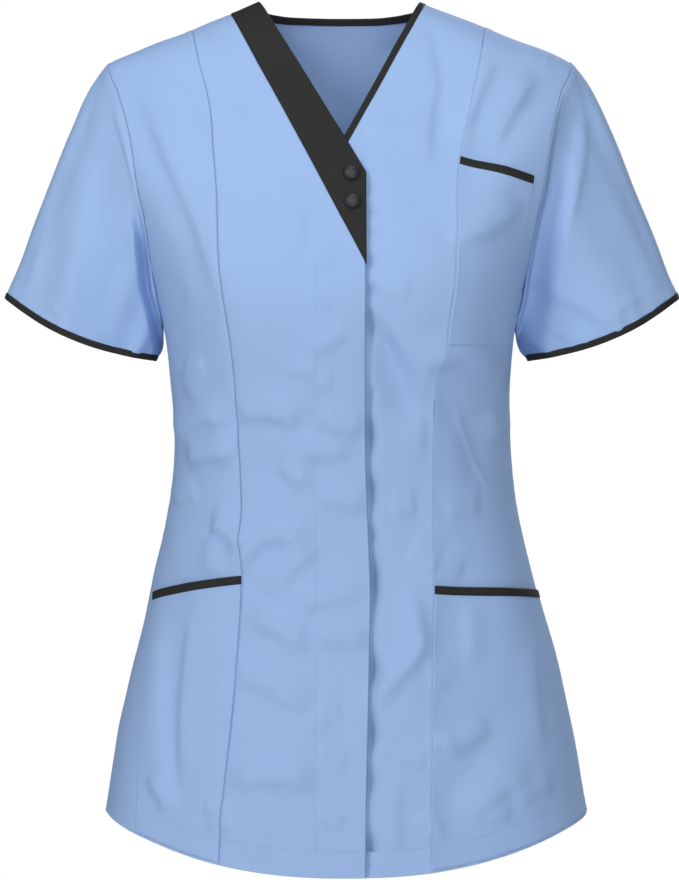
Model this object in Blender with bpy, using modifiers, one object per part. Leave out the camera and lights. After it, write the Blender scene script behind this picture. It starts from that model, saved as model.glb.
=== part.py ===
"""V-neck scrub tunic with a wrapped front, hollow as it is worn.

Metres, +Z up, the front faces -Y. Left and right are the wearer's, so left is +X. The origin lies
between the two shoulder points of the neckline. Every panel is a patch of one body form, which is
read by an angle around the body (0 centre front, 90 left side, 180 centre back, -90 right side)
and a height. Each patch is a surface that a Solidify modifier turns into a cloth wall, inwards.
"""

import bpy
import numpy as np
from mathutils import Vector

# Cloth -----------------------------------------------------------------------------------------
CLOTH = 0.0012  # wall of the poplin panels
LAID_ON = 0.0010  # wall of the pockets and of the trims on them
BINDING = 0.0016  # wall of a folded binding
PROUD = 0.0002  # how far a binding stands above the panel beside it
SEAM_GAP = 0.0005  # between two pieces that meet at a seam
ARMHOLE_GAP = 0.0006  # the sleeve's own share of the gap at its seam
LAID_GAP = 0.00035  # between a panel and what lies on it
BINDING_WIDTH = 0.0055

# Body form: a rounded section at each height ---------------------------------------------------
FORM_COLUMNS = ("height", "half_width", "front", "back", "squareness", "sway")
FORM = np.array([
    (-0.720, 0.2090, 0.141, 0.139, 2.30, 0.0040),
    (-0.645, 0.1955, 0.134, 0.133, 2.30, 0.0034),
    (-0.595, 0.1855, 0.127, 0.127, 2.30, 0.0028),
    (-0.545, 0.1747, 0.119, 0.118, 2.30, 0.0022),
    (-0.495, 0.1619, 0.111, 0.107, 2.30, 0.0016),
    (-0.446, 0.1494, 0.106, 0.096, 2.30, 0.0012),
    (-0.396, 0.1410, 0.107, 0.090, 2.30, 0.0006),
    (-0.354, 0.1386, 0.113, 0.091, 2.30, 0.0000),
    (-0.313, 0.1403, 0.123, 0.097, 2.35, -0.0008),
    (-0.280, 0.1436, 0.131, 0.104, 2.40, -0.0010),
    (-0.245, 0.1510, 0.134, 0.109, 2.50, -0.0010),
    (-0.216, 0.1606, 0.131, 0.111, 2.60, -0.0011),
    (-0.180, 0.1768, 0.121, 0.111, 2.60, -0.0012),
    (-0.157, 0.1892, 0.113, 0.109, 2.60, -0.0013),
    (-0.130, 0.1997, 0.102, 0.105, 2.60, -0.0014),
    (-0.105, 0.2056, 0.090, 0.099, 2.60, -0.0014),
    (-0.080, 0.2050, 0.078, 0.092, 2.60, -0.0015),
    (-0.050, 0.1895, 0.063, 0.081, 2.45, -0.0016),
    (-0.025, 0.1280, 0.052, 0.070, 2.30, -0.0018),
    (0.000, 0.0665, 0.045, 0.058, 2.20, -0.0020),
])

# Seam lines seen from the front: how far across at each height ----------------------------------
LINE_COLUMNS = ("height", "across")
PRINCESS_RIGHT = np.array([
    (-0.700, -0.0980), (-0.657, -0.0954), (-0.621, -0.0915), (-0.570, -0.0860),
    (-0.530, -0.0830), (-0.483, -0.0803), (-0.443, -0.0804), (-0.391, -0.0821),
    (-0.331, -0.0842), (-0.291, -0.0864), (-0.239, -0.0918), (-0.191, -0.0976),
    (-0.129, -0.1032), (-0.091, -0.1072), (-0.055, -0.1164), (-0.022, -0.1240),
])
PRINCESS_LEFT = np.array([
    (-0.700, 0.0705), (-0.649, 0.0707), (-0.570, 0.0710), (-0.530, 0.0718),
    (-0.479, 0.0730), (-0.431, 0.0732), (-0.391, 0.0732), (-0.355, 0.0739),
    (-0.319, 0.0752), (-0.287, 0.0800), (-0.267, 0.0822), (-0.235, 0.0862),
    (-0.191, 0.0896), (-0.137, 0.0942), (-0.112, 0.0995), (-0.082, 0.1058),
    (-0.046, 0.1136), (-0.021, 0.1180),
])
# The side seams run forward towards the hem, more on the right side.
SIDE_SEAM_COLUMNS = ("height", "right_angle", "left_angle")
SIDE_SEAM = np.array([
    (-0.680, 55.0, 82.0), (-0.640, 58.0, 83.0), (-0.580, 63.0, 85.0), (-0.530, 69.0, 87.0),
    (-0.500, 75.0, 88.0), (-0.470, 84.0, 89.0), (-0.400, 90.0, 90.0), (-0.245, 90.0, 90.0),
])
# A line of the back's grid: it leaves the neckline's shoulder point aslant and turns down the back.
BACK_LINE_COLUMNS = ("height", "angle")
BACK_LINE = np.array([
    (-0.700, 157.8), (-0.600, 155.2), (-0.500, 150.5), (-0.400, 144.6), (-0.354, 143.6),
    (-0.280, 146.2), (-0.245, 149.4), (-0.180, 155.0), (-0.130, 158.4), (-0.105, 158.9),
    (-0.080, 158.2), (-0.060, 154.5), (-0.045, 148.5), (-0.034, 138.0), (-0.0254, 124.0),
    (-0.0178, 114.0), (-0.0115, 105.0), (-0.0063, 97.0), (-0.0021, 90.0),
])

# Neckline, front edges and hem -------------------------------------------------------------------
NECK_LEFT, NECK_LEFT_SLOPE = 0.0645, 0.53  # across = start + slope * height
NECK_RIGHT, NECK_RIGHT_SLOPE = -0.0685, -0.588
BAND_OUTER, BAND_OUTER_SLOPE = -0.0977, -0.522  # lower edge of the contrast panel
BAND_TIP = -0.2235  # the contrast panel's lowest point
NECK_CORNER = -0.147  # where the right neckline meets the upright front edge
OVERLAP_EDGE, UNDERLAP_EDGE = 0.0185, -0.0205  # edges of the right and of the left front
NECK_ASLANT = 1.13  # width across, over width square to the neckline
SHOULDER_FALL = 0.385  # fall of the shoulder line over the distance from the neck
BACK_NECK_DROP = 0.006
HEM_AT_SIDE, HEM_DROP, HEM_ROUND = -0.668, 0.041, 2.2
OVERLAP_LIFT = 0.0021  # the right front over the left one
LIFT_STARTS, LIFT_ENDS = -0.070, -0.025
SEAM_TOP_RIGHT, SEAM_TOP_LEFT = -0.0228, -0.0216  # where the princess seams meet the shoulder

# Pocket trims: the height of the middle of the trim, level with it on every panel ------------------
TRIM_HALF_HEIGHT = 0.0037
RIGHT_TRIM, LEFT_TRIM = (-0.4754, -0.4910), (-0.4834, -0.4902)  # at the princess and the side seam
BACK_TRIM = -0.4903
CHEST_TRIM_AT_PRINCESS, CHEST_TRIM_AT_SIDE = -0.1379, -0.1565
CHEST_POCKET_LOW, CHEST_LOW_AT_SIDE = -0.2860, -0.2850

# Rows of every panel, from the hem to the shoulder ------------------------------------------------
HEM, TRIM_LOW, TRIM_TOP, CHEST_LOW, UNDERARM, TIP, NECK_BEND, CHEST_TRIM, CHEST_TOP, SHOULDER = (
    0, 10, 11, 20, 22, 25, 27, 29, 30, 38)
EVEN, CLOSE_AT_START, CLOSE_AT_END = range(3)  # how rows are spaced up to the next station
CENTRE_COLUMNS, SIDE_COLUMNS, POCKET_COLUMNS, BACK_SIDE_COLUMNS, BACK_COLUMNS = 7, 5, 4, 6, 5

# Armhole and sleeve --------------------------------------------------------------------------------
SHOULDER_TIP, UNDERARM_LEVEL = -0.0498, -0.245
ARM_FRONT, ARM_BACK = 40.0, 38.0  # how far round the armhole cuts in, in degrees
ARM_FULL, ARM_HIGH = 0.87, 0.30  # it cuts in deeper above than below
CUFF_CENTRE, CUFF_HALF_WIDTH, CUFF_HALF_DEPTH = (0.2169, -0.002, -0.2716), 0.0676, 0.0440
CUFF_TILT = np.radians(22.6)
CUFF_DROOP_FRONT, CUFF_DROOP_BACK = 0.010, 0.004
SLEEVE_RINGS = 13
SLEEVE_SPRING, SLEEVE_SPRING_TOP = 0.050, 0.030  # how far the seam's direction carries
SLEEVE_HANG = 0.9

# Folds: soft ridges and troughs, laid between two points -------------------------------------------
FOLD_COLUMNS = ("face", "across_1", "height_1", "across_2", "height_2", "half_width", "rise")
FRONT, BACK = -1.0, 1.0
FOLDS = np.array([
    (FRONT, -0.176, -0.080, -0.112, -0.190, 0.016, -0.0032),
    (FRONT, -0.150, -0.070, -0.100, -0.150, 0.014, 0.0020),
    (FRONT, 0.176, -0.070, 0.104, -0.140, 0.016, -0.0028),
    (FRONT, 0.150, -0.110, 0.100, -0.200, 0.016, 0.0018),
    (FRONT, 0.072, -0.020, 0.080, -0.140, 0.014, -0.0022),
    (FRONT, 0.022, -0.265, 0.054, -0.345, 0.014, -0.0028),
    (FRONT, 0.070, -0.470, 0.052, -0.585, 0.018, 0.0032),
    (FRONT, 0.084, -0.325, 0.120, -0.392, 0.014, -0.0030),
    (FRONT, -0.076, -0.345, -0.006, -0.356, 0.013, -0.0018),
    (FRONT, -0.074, -0.392, -0.010, -0.378, 0.013, -0.0020),
    (FRONT, -0.128, -0.490, -0.137, -0.650, 0.020, -0.0034),
    (FRONT, 0.130, -0.585, 0.076, -0.665, 0.016, -0.0028),
    (FRONT, -0.060, -0.520, -0.030, -0.660, 0.022, 0.0022),
    (BACK, 0.136, -0.135, 0.080, -0.235, 0.018, -0.0030),
    (BACK, -0.138, -0.125, -0.090, -0.220, 0.018, -0.0028),
    (BACK, -0.105, -0.340, -0.020, -0.362, 0.015, -0.0028),
    (BACK, 0.100, -0.355, 0.024, -0.386, 0.015, -0.0030),
    (BACK, 0.060, -0.440, 0.072, -0.690, 0.024, -0.0050),
    (BACK, -0.070, -0.430, -0.088, -0.690, 0.026, -0.0046),
    (BACK, -0.004, -0.480, 0.004, -0.700, 0.024, 0.0036),
    (BACK, 0.135, -0.470, 0.150, -0.670, 0.022, 0.0036),
    (BACK, -0.140, -0.480, -0.158, -0.670, 0.022, 0.0034),
])
FULLNESS_COLUMNS = ("across", "height", "half_width", "half_height", "rise")
FULLNESS = np.array([(-0.080, -0.232, 0.048, 0.070, 0.0085), (0.078, -0.232, 0.048, 0.070, 0.0085)])
SLEEVE_BAND_COLUMNS = ("turn", "half_width", "rise")  # turn: 0 outer side, 90 front, 180 underarm
SLEEVE_BANDS = np.array([
    (48.0, 14.0, -0.0026), (84.0, 15.0, 0.0022), (120.0, 13.0, -0.0028),
    (222.0, 15.0, -0.0030), (262.0, 16.0, 0.0024), (305.0, 14.0, -0.0026),
])

# Buttons: a profile from the top of the dome to the middle of the base ----------------------------
BUTTONS = {"button_upper": (0.0074, -0.1506), "button_lower": (0.0084, -0.1732)}
BUTTON_RADIUS = 0.0067
BUTTON_PROFILE_COLUMNS = ("radius_share", "height")
BUTTON_PROFILE = ((0.0, 0.0040), (0.45, 0.0038), (0.80, 0.0030), (0.97, 0.0019), (1.0, 0.0012),
                  (0.90, 0.0004), (0.72, 0.0), (0.0, 0.0))
BUTTON_STEPS = 22
BUTTON_GAP = 0.0005

# Colours --------------------------------------------------------------------------------------------
BLUE = (0.33, 0.48, 0.76, 1.0)
CHARCOAL = (0.030, 0.031, 0.032, 1.0)
BUTTON_BLACK = (0.022, 0.022, 0.024, 1.0)


# Reading the tables ---------------------------------------------------------------------------------
def smooth(table, column, at):
    """A table's column, read between its rows by a smooth curve."""
    table = table[np.argsort(table[:, 0])]
    knots, values = table[:, 0], table[:, column]
    slopes = np.gradient(values, knots)
    at = np.clip(at, knots[0], knots[-1])
    i = np.clip(np.searchsorted(knots, at, side="right") - 1, 0, len(knots) - 2)
    step = knots[i + 1] - knots[i]
    t = (at - knots[i]) / step
    rise = values[i + 1] - values[i]
    start, end = slopes[i] * step, slopes[i + 1] * step
    return values[i] + t * start + t**2 * (3 * rise - 2 * start - end) + t**3 * (start + end - 2 * rise)


def ramp(at, start, end):
    """0 before start, 1 after end, with a soft rise between."""
    t = np.clip((at - start) / (end - start), 0, 1)
    return t * t * (3 - 2 * t)


def unit(vectors):
    return vectors / np.maximum(np.linalg.norm(vectors, axis=-1, keepdims=True), 1e-12)


# Body form ------------------------------------------------------------------------------------------
def plain_form(angle, height):
    turn = np.radians(angle)
    half_width, front, back, square, sway = (smooth(FORM, k, height) for k in range(1, 6))
    sine, cosine = np.sin(turn), np.cos(turn)
    depth = np.where(cosine >= 0, front, back)
    x = sway + half_width * np.sign(sine) * np.abs(sine) ** (2 / square)
    y = -depth * np.sign(cosine) * np.abs(cosine) ** (2 / square)
    return np.stack([x, y, height + 0 * x], -1)


def form_normal(angle, height):
    turn_step, rise_step = 0.5, 0.0005
    around = plain_form(angle + turn_step, height) - plain_form(angle - turn_step, height)
    up = plain_form(angle, height + rise_step) - plain_form(angle, np.minimum(height - rise_step, 0))
    return unit(np.cross(around, up))


def relief(points):
    """How far the folds and the fullness over the bust move each point out."""
    x, y, z = points[..., 0], points[..., 1], points[..., 2]
    moved = np.zeros(x.shape)
    for across, height, half_width, half_height, rise in FULLNESS:
        spread = ((x - across) / half_width) ** 2 + ((z - height) / half_height) ** 2
        moved += rise * np.exp(-spread) * ramp(-y, 0.0, 0.05)
    for face, x1, z1, x2, z2, half_width, rise in FOLDS:
        length = np.hypot(x2 - x1, z2 - z1)
        along = ((x - x1) * (x2 - x1) + (z - z1) * (z2 - z1)) / length**2
        beside = ((x - x1) * (z2 - z1) - (z - z1) * (x2 - x1)) / length
        fades = ramp(along, -0.25, 0.25) * ramp(-along, -1.25, -0.75)
        moved += rise * np.exp(-((beside / half_width) ** 2)) * fades * ramp(face * y, 0.0, 0.04)
    return moved


def surface(angle, height, lift=0.0):
    """Points of the cloth's outer face, moved out by lift."""
    points = plain_form(angle, height)
    return points + form_normal(angle, height) * np.asarray(relief(points) + lift)[..., None]


def angle_at(across, height):
    """The angle whose point on the front lies this far across."""
    half_width, square, sway = (smooth(FORM, k, height) for k in (1, 4, 5))
    share = (across - sway) / half_width
    return np.degrees(np.arcsin(np.sign(share) * np.minimum(np.abs(share), 1) ** (square / 2)))


def hem_height(angle):
    return HEM_AT_SIDE - HEM_DROP * np.abs(np.cos(np.radians(angle))) ** HEM_ROUND


# Edges: an angle and a height for each row ------------------------------------------------------------
def spaced(cells, spacing):
    """Shares from 0 to 1, even or closer together at one end."""
    t = np.arange(cells + 1) / cells
    return (t, 1 - np.cos(t * np.pi / 2), np.sin(t * np.pi / 2))[spacing]


def row_heights(*stations):
    """Heights for all the rows, from stations (row, height, spacing up to the next one)."""
    heights = np.zeros(SHOULDER + 1)
    for (row, height, spacing), (end, top, _) in zip(stations, stations[1:]):
        heights[row:end + 1] = height + (top - height) * spaced(end - row, spacing)
    return heights


def trimmed(height):
    """The stations at the lower and the upper edge of the hip pocket trim."""
    return ((TRIM_LOW, height - TRIM_HALF_HEIGHT, EVEN), (TRIM_TOP, height + TRIM_HALF_HEIGHT, EVEN))


def chest_trimmed(height):
    """The stations at the lower and the upper edge of the chest pocket trim."""
    return ((CHEST_TRIM, height - TRIM_HALF_HEIGHT, EVEN),
            (CHEST_TOP, height + TRIM_HALF_HEIGHT, CLOSE_AT_END))


def edge(angle_of, heights, top_angle):
    """The rows below the pocket trim spread evenly down to the hem. The last row is on the shoulder."""
    heights = heights.copy()
    share = np.arange(TRIM_LOW) / TRIM_LOW
    for _ in range(4):
        angles = angle_of(heights)
        hem = hem_height(angles[HEM])
        heights[:TRIM_LOW] = hem + (heights[TRIM_LOW] - hem) * share
    angles = angle_of(heights)
    angles[-1] = top_angle
    return np.stack([angles, heights], -1)


def princess(table, trim, shoulder, side):
    heights = row_heights(
        (HEM, HEM_AT_SIDE, EVEN), *trimmed(trim), (CHEST_LOW, CHEST_POCKET_LOW, EVEN),
        (UNDERARM, UNDERARM_LEVEL, EVEN), *chest_trimmed(CHEST_TRIM_AT_PRINCESS),
        (SHOULDER, shoulder, EVEN))
    return edge(lambda z: angle_at(smooth(table, 1, z), z), heights, side * 90.0)


def armhole_turn(heights):
    """0 at the shoulder tip, 180 at the underarm."""
    middle, half = (SHOULDER_TIP + UNDERARM_LEVEL) / 2, (SHOULDER_TIP - UNDERARM_LEVEL) / 2
    return np.degrees(np.arccos(np.clip((heights - middle) / half, -1, 1)))


def outer_edge(side, face, trim):
    """Side seam and armhole, from the hem to the shoulder tip."""
    heights = row_heights(
        (HEM, HEM_AT_SIDE, EVEN), *trimmed(trim), (CHEST_LOW, CHEST_LOW_AT_SIDE, EVEN),
        (UNDERARM, UNDERARM_LEVEL, CLOSE_AT_START), *chest_trimmed(CHEST_TRIM_AT_SIDE),
        (SHOULDER, SHOULDER_TIP, EVEN))

    def angle_of(z):
        seam = smooth(SIDE_SEAM, 1 if side < 0 else 2, z)
        turn = np.radians(armhole_turn(z))
        cut = np.sin(turn) * (ARM_FULL + ARM_HIGH * np.cos(turn))
        hole = 90 + face * (ARM_FRONT if face == FRONT else ARM_BACK) * cut
        return np.where(np.arange(len(z)) > UNDERARM, hole, seam)

    found = edge(angle_of, heights, 90.0)
    found[:, 0] *= side
    if face == BACK and side < 0:
        found[:, 0] += 360
    return found


def neck_left(inset):
    """The left front's inner edge: upright under the right front, then along the neckline."""
    start = NECK_LEFT + inset * NECK_ASLANT
    bend = (UNDERLAP_EDGE - start) / NECK_LEFT_SLOPE
    heights = row_heights(
        (HEM, HEM_AT_SIDE, EVEN), *trimmed(LEFT_TRIM[0]), (CHEST_LOW, CHEST_POCKET_LOW, EVEN),
        (UNDERARM, UNDERARM_LEVEL, EVEN), (NECK_BEND, bend, CLOSE_AT_END),
        (SHOULDER, -SHOULDER_FALL * inset, EVEN))
    return edge(lambda z: angle_at(np.maximum(start + NECK_LEFT_SLOPE * z, UNDERLAP_EDGE), z),
                heights, 90.0)


def front_right_edge():
    """The right front's inner edge: upright, then along the lower edge of the contrast panel."""
    shoulder = (NECK_RIGHT - BAND_OUTER) / (BAND_OUTER_SLOPE - 1 / SHOULDER_FALL)
    heights = row_heights(
        (HEM, HEM_AT_SIDE, EVEN), *trimmed(RIGHT_TRIM[0]), (CHEST_LOW, CHEST_POCKET_LOW, EVEN),
        (UNDERARM, UNDERARM_LEVEL, EVEN), (TIP, BAND_TIP, CLOSE_AT_END), (SHOULDER, shoulder, EVEN))
    return edge(
        lambda z: angle_at(np.minimum(BAND_OUTER + BAND_OUTER_SLOPE * z, OVERLAP_EDGE), z),
        heights, -90.0)


def neck_right():
    """The contrast panel's free edge, from its tip up to the shoulder."""
    heights = row_heights(
        (HEM, HEM_AT_SIDE, EVEN), (TIP, BAND_TIP, EVEN), (CHEST_TRIM, NECK_CORNER, CLOSE_AT_END),
        (SHOULDER, 0.0, EVEN))
    return edge(
        lambda z: angle_at(np.minimum(NECK_RIGHT + NECK_RIGHT_SLOPE * z, OVERLAP_EDGE + 0.0008), z),
        heights, -90.0)


def back_line(side):
    """A line down the back: from the neckline's shoulder point, or down the middle for side 0."""
    fall = SHOULDER_FALL * BINDING_WIDTH if side else BACK_NECK_DROP + BINDING_WIDTH
    heights = row_heights(
        (HEM, HEM_AT_SIDE, EVEN), *trimmed(BACK_TRIM), (CHEST_LOW, CHEST_LOW_AT_SIDE, EVEN),
        (UNDERARM, UNDERARM_LEVEL, CLOSE_AT_END), (SHOULDER, -fall, EVEN))
    found = edge(lambda z: smooth(BACK_LINE, 1, z), heights, 90.0)
    found[:, 0] = 180 - side * (180 - found[:, 0])
    return found


# Meshes ----------------------------------------------------------------------------------------------
def between(first, second, cells, spacing=EVEN):
    """Columns of angles and heights from one edge to the next, without the last one."""
    across, up = spaced(cells, EVEN)[:-1], spaced(cells, spacing)[:-1]
    angles = first[:, None, 0] + (second - first)[:, None, 0] * across
    heights = first[:, None, 1] + (second - first)[:, None, 1] * up
    return angles, heights


def patch(edges, cells, spacings=(EVEN,)):
    """Angles and heights of a panel's grid, with its lowest row on the hem."""
    blocks = [between(a, b, n, s) for a, b, n, s in zip(edges, edges[1:], cells, spacings)]
    angles = np.hstack([b[0] for b in blocks] + [edges[-1][:, :1]])
    heights = np.hstack([b[1] for b in blocks] + [edges[-1][:, 1:]])
    hem = hem_height(angles[:TRIM_LOW])
    share = (np.arange(TRIM_LOW) / TRIM_LOW)[:, None]
    heights[:TRIM_LOW] = hem + (heights[TRIM_LOW] - hem) * share
    return angles, heights


def drawn_in(points, distance, wrapped=False):
    """A grid whose outer edges are moved in, square to each edge."""
    points = points.copy()
    sides = [(0, 1, 0), (-1, -2, 0)] + ([] if wrapped else [(0, 1, 1), (-1, -2, 1)])
    for at, inside, axis in sides:
        rows = np.moveaxis(points, axis, 0)
        along = unit(np.gradient(rows[at], axis=0))
        inward = rows[inside] - rows[at]
        inward = unit(inward - (inward * along).sum(-1, keepdims=True) * along)
        rows[at] += inward * distance
    return points


def grid_mesh(name, points, wrapped=False):
    """A mesh of triangles over a grid of points, with rows upward and columns anticlockwise."""
    rows, columns = points.shape[:2]
    index = np.arange(rows * columns).reshape(rows, columns)
    if wrapped:
        index = np.hstack([index, index[:, :1]])
    low_left, low_right = index[:-1, :-1].ravel(), index[:-1, 1:].ravel()
    top_left, top_right = index[1:, :-1].ravel(), index[1:, 1:].ravel()
    faces = np.concatenate([
        np.stack([low_left, low_right, top_right], -1), np.stack([low_left, top_right, top_left], -1)])
    mesh = bpy.data.meshes.new(name)
    mesh.from_pydata(points.reshape(-1, 3).tolist(), [], faces.tolist())
    mesh.shade_smooth()
    return mesh


def new_material(name, colour, roughness):
    material = bpy.data.materials.new(name)
    material.use_nodes = True
    shader = material.node_tree.nodes["Principled BSDF"]
    shader.inputs["Base Color"].default_value = colour
    shader.inputs["Roughness"].default_value = roughness
    shader.inputs["Metallic"].default_value = 0.0
    return material


def add_piece(name, mesh, colour, roughness):
    piece = bpy.data.objects.new(name, mesh)
    mesh.materials.append(new_material(name, colour, roughness))
    garment.objects.link(piece)
    return piece


def add_cloth(name, points, wall, colour, wrapped=False, roughness=0.85):
    """A sheet of points made a cloth wall, inwards from its outer face."""
    piece = add_piece(name, grid_mesh(name, points, wrapped), colour, roughness)
    thicken = piece.modifiers.new("cloth wall", "SOLIDIFY")
    thicken.thickness = wall
    thicken.offset = -1.0
    return piece


# Pieces -----------------------------------------------------------------------------------------------
def overlap_lift(angles, heights):
    """The right front rises over the left one towards the middle."""
    return OVERLAP_LIFT * ramp(plain_form(angles, heights)[..., 0], LIFT_STARTS, LIFT_ENDS)


def add_front_centre_right(seam, inner):
    angles, heights = patch([seam, inner], [CENTRE_COLUMNS])
    points = surface(angles, heights, overlap_lift(angles, heights))
    add_cloth("front_right_centre", drawn_in(points, SEAM_GAP / 2), CLOTH, BLUE)


def add_contrast_panel(inner):
    angles, heights = (g[TIP:] for g in patch([inner, neck_right()], [3]))
    lift = overlap_lift(angles, heights) + PROUD
    points = drawn_in(surface(angles, heights, lift), SEAM_GAP / 2)
    add_cloth("contrast_panel", points, CLOTH + PROUD, CHARCOAL)


def add_front_centre_left(seam):
    angles, heights = patch([neck_left(BINDING_WIDTH), seam], [CENTRE_COLUMNS])
    points = surface(angles, heights)
    add_cloth("front_left_centre", drawn_in(points, SEAM_GAP / 2), CLOTH, BLUE)


def add_side(name, edges):
    angles, heights = patch(edges, [SIDE_COLUMNS])
    add_cloth(name, drawn_in(surface(angles, heights), SEAM_GAP / 2), CLOTH, BLUE)
    return angles, heights


def add_back(left, right):
    angles, heights = patch([left, back_line(1), back_line(0), back_line(-1), right],
                            [BACK_SIDE_COLUMNS, BACK_COLUMNS, BACK_COLUMNS, BACK_SIDE_COLUMNS],
                            (EVEN, CLOSE_AT_END, CLOSE_AT_START, EVEN))
    add_cloth("back", drawn_in(surface(angles, heights), SEAM_GAP / 2), CLOTH, BLUE)


def add_laid_on(name, grid, rows, columns, colour, wall):
    """A pocket or trim made from the points of the panel that it lies on, moved out."""
    angles, heights = (g[rows[0]:rows[1] + 1, columns[0]:columns[1] + 1] for g in grid)
    points = drawn_in(surface(angles, heights, LAID_GAP + wall), SEAM_GAP / 2)
    add_cloth(name, points, wall, colour)


def add_neck_binding():
    strips = []
    for inset in (0.0, BINDING_WIDTH):
        front = neck_left(inset)[NECK_BEND:]
        t = np.arange(1, 2 * BACK_COLUMNS + 1) / (2 * BACK_COLUMNS)
        side, middle = -SHOULDER_FALL * inset, -BACK_NECK_DROP - inset
        back = np.stack([90 + 180 * t, side + (middle - side) * np.sin(t * np.pi)], -1)
        strips.append(np.vstack([front, back]))
    angles, heights = (np.stack([strips[1][:, k], strips[0][:, k]]) for k in (0, 1))
    points = surface(angles, heights, PROUD)
    add_cloth("neck_binding", drawn_in(points, SEAM_GAP / 2), BINDING, CHARCOAL)


def cuff_edge(side, turn):
    """The sleeve's open end, and the direction it points in."""
    out = np.array([side * np.cos(CUFF_TILT), 0, np.sin(CUFF_TILT)])
    hang = np.array([side * np.sin(CUFF_TILT), 0, -np.cos(CUFF_TILT)])
    centre = np.array(CUFF_CENTRE) * (side, 1, 1)
    across = np.cos(turn)[:, None] * out * CUFF_HALF_WIDTH
    deep = np.sin(turn)[:, None] * np.array([0, -CUFF_HALF_DEPTH, 0])
    droop = np.where(np.sin(turn) > 0, CUFF_DROOP_FRONT, CUFF_DROOP_BACK) * np.sin(turn) ** 2
    radial = unit(across / CUFF_HALF_WIDTH**2 + deep / CUFF_HALF_DEPTH**2)
    degrees = np.degrees(turn) % 360
    bands = sum(rise * np.exp(-(((degrees - at) / width) ** 2)) for at, width, rise in SLEEVE_BANDS)
    points = centre + across + deep + droop[:, None] * hang + bands[:, None] * radial
    return points, hang, radial


def add_sleeve(side, name, front, back):
    """A loft from the armhole to the cuff. The ring runs over the top, front and underarm."""
    loop = np.vstack([back[UNDERARM:], front[UNDERARM:-1][::-1][:-1]])
    turn = np.radians(np.concatenate([
        -armhole_turn(back[UNDERARM:, 1]), armhole_turn(front[UNDERARM:-1, 1])[::-1][:-1]]))
    if side < 0:
        loop, turn = loop[::-1], turn[::-1]
    seam = surface(loop[:, 0], loop[:, 1])
    normal = form_normal(loop[:, 0], loop[:, 1])
    along = unit(np.roll(seam, -1, 0) - np.roll(seam, 1, 0))
    into_hole = np.cross(normal, along)
    seam = seam + into_hole * ARMHOLE_GAP
    end, hang, radial = cuff_edge(side, turn)
    last = end - hang * (BINDING_WIDTH + SEAM_GAP)
    high = np.cos(turn)[:, None]
    down = unit(last - seam)
    leaves = unit(into_hole * (0.55 + np.where(high > 0, 0.45, 0.30) * high)
                  + down * 0.6 * (1 - np.abs(high)) + normal * np.maximum(-high, 0))
    start = leaves * (SLEEVE_SPRING + SLEEVE_SPRING_TOP * high)
    finish = hang * SLEEVE_HANG * np.linalg.norm(last - seam, axis=-1, keepdims=True)
    rings = []
    for s in np.linspace(0, 1, SLEEVE_RINGS):
        rings.append((2 * s**3 - 3 * s**2 + 1) * seam + (s**3 - 2 * s**2 + s) * start
                     + (3 * s**2 - 2 * s**3) * last + (s**3 - s**2) * finish)
    add_cloth("sleeve_" + name, np.array(rings), CLOTH, BLUE, wrapped=True)
    binding = np.array([end - hang * BINDING_WIDTH, end]) + radial * PROUD
    add_cloth("sleeve_binding_" + name, binding, BINDING, CHARCOAL, wrapped=True)


def add_button(name, across, height):
    """A covered button, turned about its shank and set square to the cloth."""
    mesh = bpy.data.meshes.new(name)
    profile = [(share * BUTTON_RADIUS, 0, rise) for share, rise in BUTTON_PROFILE]
    mesh.from_pydata(profile, [(i, i + 1) for i in range(len(profile) - 1)], [])
    button = add_piece(name, mesh, BUTTON_BLACK, 0.6)
    turned = button.modifiers.new("turned profile", "SCREW")
    turned.steps = turned.render_steps = BUTTON_STEPS
    turned.use_merge_vertices = True
    turned.merge_threshold = 0.00001
    turned.use_smooth_shade = True
    angle = angle_at(np.array([across]), np.array([height]))
    height = np.array([height])
    lift = overlap_lift(angle, height) + PROUD + BUTTON_GAP
    button.location = surface(angle, height, lift)[0]
    button.rotation_euler = Vector(form_normal(angle, height)[0]).to_track_quat("Z", "Y").to_euler()


def main():
    right_seam = princess(PRINCESS_RIGHT, RIGHT_TRIM[0], SEAM_TOP_RIGHT, -1)
    left_seam = princess(PRINCESS_LEFT, LEFT_TRIM[0], SEAM_TOP_LEFT, 1)
    front_edge = front_right_edge()
    outer = {(side, face): outer_edge(side, face, trim[1])
             for side, trim in ((-1, RIGHT_TRIM), (1, LEFT_TRIM)) for face in (FRONT, BACK)}
    add_front_centre_right(right_seam, front_edge)
    add_contrast_panel(front_edge)
    add_front_centre_left(left_seam)
    right = add_side("front_right_side", [outer[-1, FRONT], right_seam])
    left = add_side("front_left_side", [left_seam, outer[1, FRONT]])
    add_back(outer[1, BACK], outer[-1, BACK])
    add_neck_binding()
    add_sleeve(-1, "right", outer[-1, FRONT], outer[-1, BACK])
    add_sleeve(1, "left", outer[1, FRONT], outer[1, BACK])
    for name, grid in (("right", right), ("left", left)):
        add_laid_on("hip_pocket_" + name, grid, (HEM, TRIM_LOW), (0, SIDE_COLUMNS), BLUE, LAID_ON)
        add_laid_on("hip_pocket_trim_" + name, grid, (TRIM_LOW, TRIM_TOP), (0, SIDE_COLUMNS), CHARCOAL,
                    LAID_ON + PROUD)
    add_laid_on("chest_pocket", left, (CHEST_LOW, CHEST_TRIM), (0, POCKET_COLUMNS), BLUE, LAID_ON)
    add_laid_on("chest_pocket_trim", left, (CHEST_TRIM, CHEST_TOP), (0, POCKET_COLUMNS), CHARCOAL,
                LAID_ON + PROUD)
    for name, (across, height) in BUTTONS.items():
        add_button(name, across, height)


for old in list(bpy.data.objects):
    bpy.data.objects.remove(old)
garment = bpy.data.collections.new("scrub_top")
bpy.context.scene.collection.children.link(garment)
main()
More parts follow.
